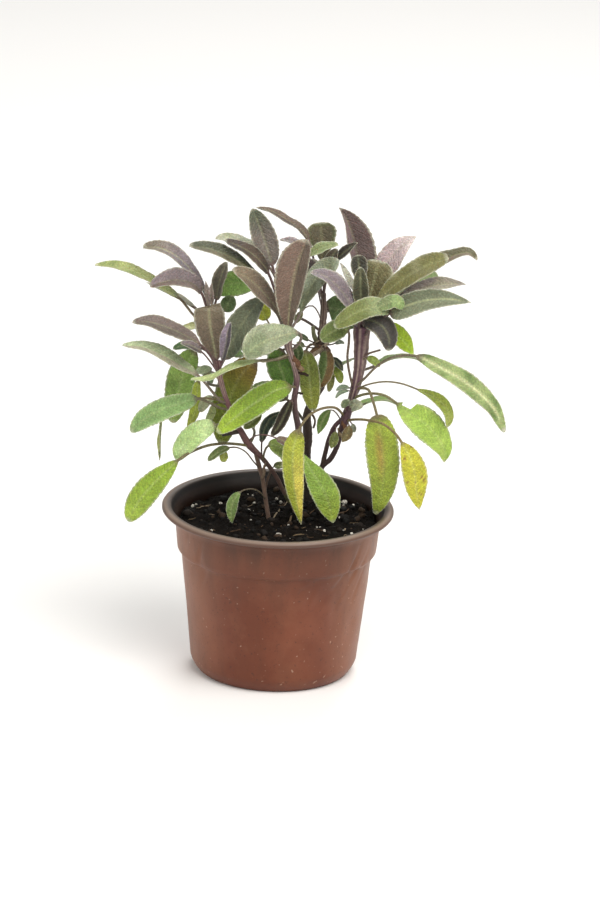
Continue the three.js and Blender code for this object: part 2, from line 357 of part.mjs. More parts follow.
      [15.5, 149.3, -20], [12.3, 144.8, -22]],
      [[10.5, 141, -23], [7.6, 130, -24], [7.6, 118, -24], [9.5, 103, -22], [13.5, 85.2, -19]]],
    ['small_hanging', 6, 0, 0, 10, 'pointed', [[33.7, 147.5, 11.3], [30.5, 152, 5]],
      [[27.8, 153.3, 1], [24.4, 149, -1], [21, 138.7, -3]]],
    ['cluster_right', 7, -10, -10, 12, 'oblong', [[37.3, 152, 9.2]],
      [[38.5, 155.5, 4], [41.5, 156.5, 1], [45.5, 156, -1]]],
    ['cluster_top', 5, 20, 20, 12, 'oblong', [[36.8, 151, 9.5]],
      [[35.5, 155, 4], [35.5, 157.5, 2], [37.5, 159.8, 0]]],
    ['node_left_a', 3.6, 40, 40, 10, 'oblong', [[40.5, 165.5, 6.5]],
      [[37.5, 166.8, 3], [34, 166.9, 1], [30.3, 165, 0]]],
    ['node_left_b', 3.2, 40, 40, 10, 'oblong', [[40, 163.5, 6.9]],
      [[37, 165, 1], [33, 163.7, -2], [30, 160.4, -3]]],
    ['brown_hanging', 6, 10, 10, 12, 'pointed', [[36, 148.5, 10]],
      [[38.2, 145, 6], [37.8, 140, 5], [34.6, 134.5, 5]]],
    ['green_inner', 5.5, 0, 0, 10, 'pointed', [[31, 144.6, 13.3]],
      [[30.8, 141, 9], [30.2, 136, 7.5], [28.6, 130.5, 7.5]]],
    ['grey_hanging', 3, 0, 0, 10, 'oblong', [[37, 149, 9.6]],
      [[40, 145.5, 6], [41, 143, 5], [41.3, 140.5, 5]]],
    ['upper_right_rear', 16, 0, 0, 10, 'oblong', [[43.5, 201, 5.5], [46, 216, 24]],
      [[48.5, 222, 32], [51, 227, 44], [52.5, 228, 56], [53, 225, 68]]],
    ['mid_right_rear', 15, -80, -80, 10, 'oblong', [[42.8, 178, 5], [46.5, 178, 18]],
      [[53, 181, 28], [62, 185.5, 39], [74, 186.2, 50], [84, 181.5, 60]]],
    ['low_right_rear', 14, -80, -80, 10, 'oblong', [[36.3, 149, 10], [39.5, 153, 20]],
      [[45, 157, 28], [52, 160, 40], [60, 160.5, 52], [67, 158, 62]]],
    ['far_right_rear', 16, 0, 0, 10, 'oblong', [[44, 199, 5.5], [56, 216, 24]],
      [[63, 223, 34], [71, 230, 44], [79, 232, 54], [86, 228, 64]]],
  ],
};

// Torn places: the side of the blade (1 is right-hand), where the tear starts and ends, and how much
// of the half blade is left there
const TEARS = { bright_torn: [-1, 0.06, 0.2, 0.3], torn_dark: [1, 0.4, 0.6, 0.45] };

// The colours of the parts
const FINISHES = {
  pot: ['#8a5642', 0.55],
  potting_soil: ['#1d1814', 0.95],
  left_leafy_stem: ['#6f7f58', 0.8],
  centre_leafy_stem: ['#7a7350', 0.8],
  back_leafy_stem: ['#6a6a48', 0.8],
  right_leafy_stem: ['#6d7d42', 0.8],
};

function placed([across, height, depth]) {
  return new THREE.Vector3(across, depth, height - depth * Math.tan(SIGHT_ANGLE));
}

// A closed mesh as a solid: its shared corners are welded first
function solidOf(geometry) {
  const bare = geometry.clone();
  bare.deleteAttribute('normal');
  bare.deleteAttribute('uv');
  const welded = mergeVertices(bare, 1e-4);
  return new wasm.Manifold(new wasm.Mesh({
    numProp: 3,
    vertProperties: new Float32Array(welded.attributes.position.array),
    triVerts: new Uint32Array(welded.index.array),
  }));
}

function geometryOf(solid) {
  const mesh = solid.getMesh();
  const geometry = new THREE.BufferGeometry();
  geometry.setAttribute('position', new THREE.BufferAttribute(new Float32Array(mesh.vertProperties), 3));
  geometry.setIndex(new THREE.BufferAttribute(new Uint32Array(mesh.triVerts), 1));
  geometry.computeVertexNormals();
  return geometry;
}

function partOf(name, solid) {
  const [color, roughness] = FINISHES[name];
  const material = new THREE.MeshStandardMaterial({ color, roughness, metalness: 0 });
  const mesh = new THREE.Mesh(geometryOf(solid), material);
  mesh.name = name;
  return mesh;
}

// A cylinder bent along a stem's line, with the stem's radius at each point
function stemSolid(points) {
  const line = new THREE.CatmullRomCurve3(points.map(placed));
  const last = points.length - 1;
  const sides = points[0][3] > TWIG_RADIUS ? STEM_SIDES : TWIG_SIDES;
  const tube = new THREE.CylinderGeometry(1, 1, 1, sides, last);
  const corners = tube.attributes.position;
  const across = new THREE.Vector3(0, 1, 0);
  for (let i = 0; i < corners.count; i += 1) {
    const along = corners.getY(i) + 0.5;
    const nearest = Math.min(last - 1, Math.floor(along * last));
    const radius = THREE.MathUtils.lerp(points[nearest][3], points[nearest + 1][3], along * last - nearest);
    const heading = line.getTangent(along);
    const side = across.clone().cross(heading).normalize();
    const front = side.clone().cross(heading);
    const centre = line.getPoint(along);
    centre.addScaledVector(side, corners.getX(i) * radius).addScaledVector(front, corners.getZ(i) * radius);
    corners.setXYZ(i, centre.x, centre.y, centre.z);
  }
  return solidOf(tube);
}

// A sheet with two faces and a rim, both faces divided alike. place(u, row, face) gives the corner
// at u across (-1 to 1), in a row from the base, on the upper (1) or lower (-1) face.
function sheetSolid(rows, place) {
  const grid = new THREE.PlaneGeometry(2, 1, 2, rows);
  const marks = grid.attributes.position;
  const faces = grid.index.array;
  const count = marks.count;
  const corners = [];
  for (const face of [1, -1]) {
    for (let i = 0; i < count; i += 1) {
      const row = Math.round((marks.getY(i) + 0.5) * rows);
      corners.push(...place(marks.getX(i), row, face).toArray());
    }
  }
  const triangles = [];
  for (let i = 0; i < faces.length; i += 3) {
    const [a, b, c] = [faces[i], faces[i + 1], faces[i + 2]];
    triangles.push(a, b, c, c + count, b + count, a + count);
  }
  const rim = [];
  for (let row = 0; row < rows; row += 1) rim.push([row * 3, row * 3 + 3]);
  for (let column = 0; column < 2; column += 1) rim.push([rows * 3 + column, rows * 3 + column + 1]);
  for (let row = rows; row > 0; row -= 1) rim.push([row * 3 + 2, row * 3 - 1]);
  for (let column = 2; column > 0; column -= 1) rim.push([column, column - 1]);
  for (const [from, to] of rim) triangles.push(to, from, from + count, to, from + count, to + count);
  const geometry = new THREE.BufferGeometry();
  geometry.setAttribute('position', new THREE.Float32BufferAttribute(corners, 3));
  geometry.setIndex(triangles);
  return solidOf(geometry);
}

function halfWidth(name, width, outline, along, side) {
  const [spread, sharpness] = OUTLINES[outline];
  const [tornSide, start, end, left] = TEARS[name] ?? [0, 0, 0, 1];
  const torn = side === tornSide && along > start && along < end;
  return 0.5 * width * Math.sin(Math.PI * along ** spread) ** sharpness * (torn ? left : 1);
}

function leafSolid([name, width, baseTurn, tipTurn, fold, outline, stalk, blade], index) {
  const line = new THREE.CatmullRomCurve3([...stalk, ...blade].map(placed));
  const spans = stalk.length + blade.length - 1;
  line.arcLengthDivisions = LINE_DIVISIONS * spans;
  const lengths = line.getLengths();
  const bladeStart = lengths[LINE_DIVISIONS * stalk.length] / lengths[LINE_DIVISIONS * spans];
  const bladeRows = width < LARGE_LEAF ? SMALL_BLADE_ROWS : LARGE_BLADE_ROWS;
  const stalkRows = Math.max(1, Math.round(stalk.length * ROWS_PER_STALK_POINT));
  const rows = stalkRows + bladeRows.length - 1;
  const stalkHalf = THREE.MathUtils.clamp(width * STALK_WIDTH_SHARE, ...STALK_HALF_WIDTHS);
  const raised = THREE.MathUtils.degToRad(fold);

  return sheetSolid(rows, (u, row, face) => {
    const onStalk = row < stalkRows;
    const along = onStalk ? 0 : bladeRows[row - stalkRows];
    const share = onStalk ? bladeStart * row / stalkRows : bladeStart + (1 - bladeStart) * along;
    const centre = line.getPointAt(Math.min(share, 1));
    const heading = line.getTangentAt(Math.min(share, 1));
    const facing = TO_VIEWER.clone().addScaledVector(heading, -TO_VIEWER.dot(heading)).normalize();
    const turn = THREE.MathUtils.degToRad(THREE.MathUtils.lerp(baseTurn, tipTurn, along));
    facing.applyAxisAngle(heading, turn);
    const side = heading.clone().cross(facing);
    const half = Math.max(stalkHalf, u === 0 ? 0 : halfWidth(name, width, outline, along, u));
    const reach = row === rows ? TIP_HALF_WIDTH : half;
    const wave = EDGE_WAVE * Math.sin(along * WAVE_RATE + index + u) * Math.sin(Math.PI * along);
    const lift = Math.abs(u) * (reach * Math.sin(raised) + (width < LARGE_LEAF ? 0 : wave));
    const thickness = along > 0 ? BLADE_THICKNESS : Math.min(STALK_THICKNESS, stalkHalf * 2);
    const edge = onStalk && u !== 0 ? STALK_EDGE_SHARE : 1;
    centre.addScaledVector(side, u * reach * (onStalk ? 1 : Math.cos(raised)));
    return centre.addScaledVector(facing, (onStalk ? 0 : lift) + face * edge * thickness / 2);
  });
}

// The pot: a thin shell with a collar, a rolled rim and a flat base with drain holes
function potSolid() {
  const profile = [
    [0, 0], [BASE_RADIUS - 1.5, 0], [BASE_RADIUS, 0.8], [BASE_RADIUS + 2.6, 4], [HEEL_RADIUS, HEEL_HEIGHT],
    [WALL_TOP_RADIUS, WALL_TOP_HEIGHT], [COLLAR_RADIUS, COLLAR_HEIGHT],
    [COLLAR_TOP_RADIUS, COLLAR_TOP_HEIGHT], [COLLAR_TOP_RADIUS + 1, RIM_UNDERSIDE - 2.6],
    [COLLAR_TOP_RADIUS + 1.2, RIM_UNDERSIDE],
    [RIM_RADIUS - 1.2, RIM_UNDERSIDE], [RIM_RADIUS, RIM_UNDERSIDE + 1], [RIM_RADIUS - 0.4, POT_HEIGHT - 0.6],
    [RIM_RADIUS - 1.8, POT_HEIGHT], [RIM_INNER_RADIUS + 1, POT_HEIGHT], [RIM_INNER_RADIUS, POT_HEIGHT - 1],
    [COLLAR_TOP_RADIUS - WALL, RIM_UNDERSIDE - 3], [COLLAR_RADIUS - WALL, COLLAR_HEIGHT + 0.6],
    [WALL_TOP_RADIUS - WALL, WALL_TOP_HEIGHT + 0.4], [HEEL_RADIUS - WALL, HEEL_HEIGHT + 0.4],
    [BASE_RADIUS + 1.6, 4.6], [BASE_RADIUS - 2, WALL], [0, WALL],
  ];
  let pot = solidOf(new THREE.LatheGeometry(profile.map((p) => new THREE.Vector2(...p)), POT_SIDES)
    .rotateX(Math.PI / 2));
  for (let hole = 0; hole < DRAIN_HOLES; hole += 1) {
    const angle = (hole + 0.5) * 2 * Math.PI / DRAIN_HOLES;
    const drill = new THREE.CylinderGeometry(DRAIN_RADIUS, DRAIN_RADIUS, 4 * WALL, HOLE_SIDES)
      .rotateX(Math.PI / 2);
    drill.translate(DRAIN_CIRCLE * Math.cos(angle), DRAIN_CIRCLE * Math.sin(angle), WALL / 2);
    pot = pot.subtract(solidOf(drill));
  }
  return pot;
}

// The soil: a lumpy disc that fills the pot, with a hole for the foot of each stem
function soilSolid() {
  const gap = WALL + CLEARANCE;
  const profile = [
    [0, gap], [BASE_RADIUS - 2.6, gap], [BASE_RADIUS + 1, 5],
    [HEEL_RADIUS - gap, HEEL_HEIGHT + 0.6], [WALL_TOP_RADIUS - gap, WALL_TOP_HEIGHT + 0.6],
    [COLLAR_RADIUS - gap - 0.2, COLLAR_HEIGHT + 0.9], [COLLAR_TOP_RADIUS - gap - 0.5, SOIL_LEVEL - 1],
    ...SOIL_RINGS.map((radius) => [radius, SOIL_LEVEL]),
  ];
  const disc = new THREE.LatheGeometry(profile.map((p) => new THREE.Vector2(...p)), SOIL_SIDES)
    .rotateX(Math.PI / 2);
  const corners = disc.attributes.position;
  for (let i = 0; i < corners.count; i += 1) {
    if (corners.getZ(i) > SOIL_LEVEL - 0.5) {
      const [x, y] = [corners.getX(i), corners.getY(i)];
      const lump = Math.sin(x * 0.31 + 1.3) * Math.cos(y * 0.27) + Math.sin(x * 0.13 - y * 0.41);
      corners.setZ(i, SOIL_LEVEL + SOIL_LUMP * 0.5 * lump);
    }
  }
  let soil = solidOf(disc);
  for (const stems of Object.values(STEMS)) {
    for (const stem of stems) {
      const foot = placed(stem[0]);
      if (foot.z < SOIL_LEVEL) {
        const height = HOLE_TOP - STEM_FOOT;
        const radius = stem[0][3] + CLEARANCE;
        const hole = new THREE.CylinderGeometry(radius + HOLE_FLARE, radius, height, HOLE_SIDES)
          .rotateX(Math.PI / 2);
        hole.translate(foot.x, foot.y, foot.z - CLEARANCE + height / 2);
        soil = soil.subtract(solidOf(hole));
      }
    }
  }
  return soil;
}

// One leafy stem: its stems and leaves fused, with the small pockets shut in among them filled
function leafyStemSolid(name) {
  const pieces = [...STEMS[name].map(stemSolid), ...LEAVES[name].map(leafSolid)];
  const fused = pieces.reduce((whole, piece) => whole.add(piece));
  const outer = fused.decompose().filter((shell) => shell.volume() > 0);
  return outer.reduce((whole, shell) => whole.add(shell));
}

const plant = new THREE.Group();
plant.name = 'potted_sage';
plant.add(partOf('pot', potSolid()), partOf('potting_soil', soilSolid()));
for (const name of Object.keys(STEMS)) plant.add(partOf(name, leafyStemSolid(name)));

export default plant;
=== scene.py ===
# A purple sage in a thin plastic nursery pot
# The pot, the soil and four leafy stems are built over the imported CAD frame, with the colours,
# veins, hairs and dead scraps that the solids leave out. Lengths in the tables are in millimetres.

import math
import random

import bmesh
import bpy
from mathutils import Matrix, Vector, noise


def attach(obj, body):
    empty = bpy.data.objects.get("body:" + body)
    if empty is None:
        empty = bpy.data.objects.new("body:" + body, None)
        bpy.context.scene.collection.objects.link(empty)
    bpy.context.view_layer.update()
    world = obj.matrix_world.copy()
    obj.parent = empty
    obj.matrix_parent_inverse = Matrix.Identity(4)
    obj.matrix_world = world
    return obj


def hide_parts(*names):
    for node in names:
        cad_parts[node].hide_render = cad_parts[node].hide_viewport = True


bl_info = {
    "name": "Potted Purple Sage",
    "version": (1, 0, 0),
    "blender": (4, 5, 0),
    "location": "3D View > Sidebar > Potted Sage",
    "description": "Builds a purple sage in a nursery pot, with its soil, stems and leaves",
    "category": "Add Mesh",
}

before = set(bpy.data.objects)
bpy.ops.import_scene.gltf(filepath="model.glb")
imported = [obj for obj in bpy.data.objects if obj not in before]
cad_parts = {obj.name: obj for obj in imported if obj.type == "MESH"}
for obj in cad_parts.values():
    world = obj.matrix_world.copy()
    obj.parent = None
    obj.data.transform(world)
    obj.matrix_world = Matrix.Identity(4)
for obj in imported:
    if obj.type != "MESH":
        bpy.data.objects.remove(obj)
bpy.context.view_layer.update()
MM = 0.001
# One unit of the UV maps, in millimetres, except across a stem, where one unit goes once round it
UV_UNIT = 10

# A traced point is [across, height, depth]. Across and height lie in the upright plane through the
# pot's axis, met by a line of sight that looks down at this angle. Depth moves the point along it.
SIGHT_ANGLE = math.radians(18.7)
TO_VIEWER = Vector((0.0, -math.cos(SIGHT_ANGLE), math.sin(SIGHT_ANGLE)))

# Photograph: its size in pixels, the pixel where the pot's base centre stands, the scale and the lean
PHOTO_WIDTH = 600
PHOTO_HEIGHT = 900
BASE_PIXEL = (272.5, 668.0)
MM_PER_PIXEL = 0.559
PHOTO_LEAN = math.radians(1.9)

# Outlines of a blade: the first number moves the widest place to the tip, the second sharpens both ends
OUTLINES = {
    "oblong": (0.9, 0.5),
    "pointed": (0.9, 0.85),
    "wide_base": (0.66, 0.6),
    "wide_tip": (1.25, 0.55),
    "blunt": (1.5, 0.42),
    "fan": (2.3, 0.4),
    "spoon": (1.7, 0.58),
    "spear": (1.3, 0.8),
    "tapered": (0.6, 0.8),
}

# A stem is (colour at its foot, colour at its top, points), and its points have a radius as well
STEMS = {
    "left_leafy_stem": [
        ("#5c4638", "#6b4448", [(10, 79, 15, 1.5), (10, 91, 15, 1.5), (8.5, 96, 14, 1.3), (3, 104, 11, 1.2),
         (-1, 112, 8, 1.2), (-5, 118, 5, 1.2), (-10, 124, 2, 1.4), (-17, 131, -2, 2.1), (-22, 139, -5, 1.8),
         (-24.5, 143, -6, 1.6), (-28, 151, -5, 1.5), (-31.5, 160, -5, 1.5), (-34.5, 170, -5, 1.7),
         (-36, 180, -4, 1.9)]),
        ("#6a5244", "#705848", [(-5, 74.7, 2, 1.3), (-5, 87, 2, 1.3), (-6.5, 96, 3, 1.2), (-8, 105, 4, 1.2),
         (-9.2, 112, 4, 1.2), (-11, 118, 3.5, 1.3), (-13.6, 127.4, -0.4, 1.2)]),
        ("#5a4638", "#5a4638", [(-4.5, 116.5, 5.5, 0.8), (-6.6, 110, 5.3, 0.7), (-7.4, 104, 4.6, 0.7),
         (-6.7, 97.5, 3.2, 0.7)]),
        ("#3a2c24", "#2c221c", [(-23.5, 139, -5.2, 1.6), (-28, 137.9, -6, 1.5), (-32.5, 137, -7, 1.4)]),
        ("#5f4044", "#7a5c54", [(-33.2, 166, -5, 1.4), (-36, 175, 3, 1.4), (-38.5, 186, 13, 1.4),
         (-40.5, 198, 20, 1.4), (-41.5, 211, 24, 2.2)]),
    ],
    "centre_leafy_stem": [
        ("#3c2e26", "#604448", [(9.5, 82, 23.6, 2), (9.5, 94.5, 23.6, 2), (10.3, 104, 21, 1.9),
         (10.5, 118, 17, 1.9), (10.3, 132, 12, 1.8), (10, 142, 8.5, 1.8), (8.3, 150, 4, 1.7),
         (7.2, 158, 0.5, 1.7), (8, 166, -2.5, 1.7), (8.3, 172, -4.5, 1.7), (5.5, 182, -7, 1.9),
         (3, 190, -8.5, 2.4), (2.6, 200, -9, 3)]),
    ],
    "back_leafy_stem": [
        ("#2a2119", "#4e3a30", [(16.5, 85.9, 35, 2.9), (16.5, 98.5, 35, 2.9), (15.8, 110, 32, 2.7),
         (15, 125, 29, 2.7), (15.2, 140, 26, 2.6), (14.8, 152, 24, 2.3), (18.5, 160, 22.5, 2),
         (22.5, 168, 21, 1.9), (25.7, 178, 19, 1.9), (24.5, 184, 17.5, 2.2), (21.5, 190, 17, 2.7),
         (21.5, 199, 18, 2.4), (22, 211, 20, 2.2), (21.5, 222, 22, 1.5)]),
        ("#8a6c50", "#80624a", [(14.5, 185, 13, 1.2), (18, 188.5, 15, 1.9), (22, 191.5, 17, 2.1),
         (26, 194.5, 18, 1.2)]),
        ("#6a6a4a", "#6f7350", [(19.5, 192, 16.8, 1.3), (17, 197, 16, 1.4), (16.3, 202, 15.5, 1.1)]),
        ("#5a4634", "#4a3a2c", [(15, 150, 22.5, 0.9), (17.6, 150.2, 19, 0.7), (19.2, 146.5, 17, 0.6),
         (18.4, 142.2, 16, 0.6)]),
    ],
    "right_leafy_stem": [
        ("#40342a", "#5a3a48", [(24, 83.8, 29, 2), (24, 96.5, 29, 2), (22.8, 108, 26, 1.7),
         (24, 119.5, 22.5, 1.6), (28.5, 124.3, 20, 1.5), (31.7, 131, 17.5, 1.5), (34, 141, 13.5, 1.7),
         (36.3, 149, 10, 2.8), (38.6, 158, 8, 2), (41, 167, 6.5, 3), (42.8, 178, 5, 3.5),
         (43.5, 190, 4.5, 4.5), (43.5, 203, 4.5, 5.2)]),
        ("#4a3832", "#52343c", [(24.3, 120.5, 22, 1.4), (25.6, 128, 19.5, 1.3), (27.6, 137, 16.5, 1.3),
         (30.5, 144, 13.5, 1.3), (35.5, 149.5, 10.5, 1.2)]),
        ("#5a4038", "#6a5444", [(43.5, 184.5, 4, 0.8), (48.5, 187.4, -1, 0.6), (54, 189.3, -4, 0.6)]),
    ],
}

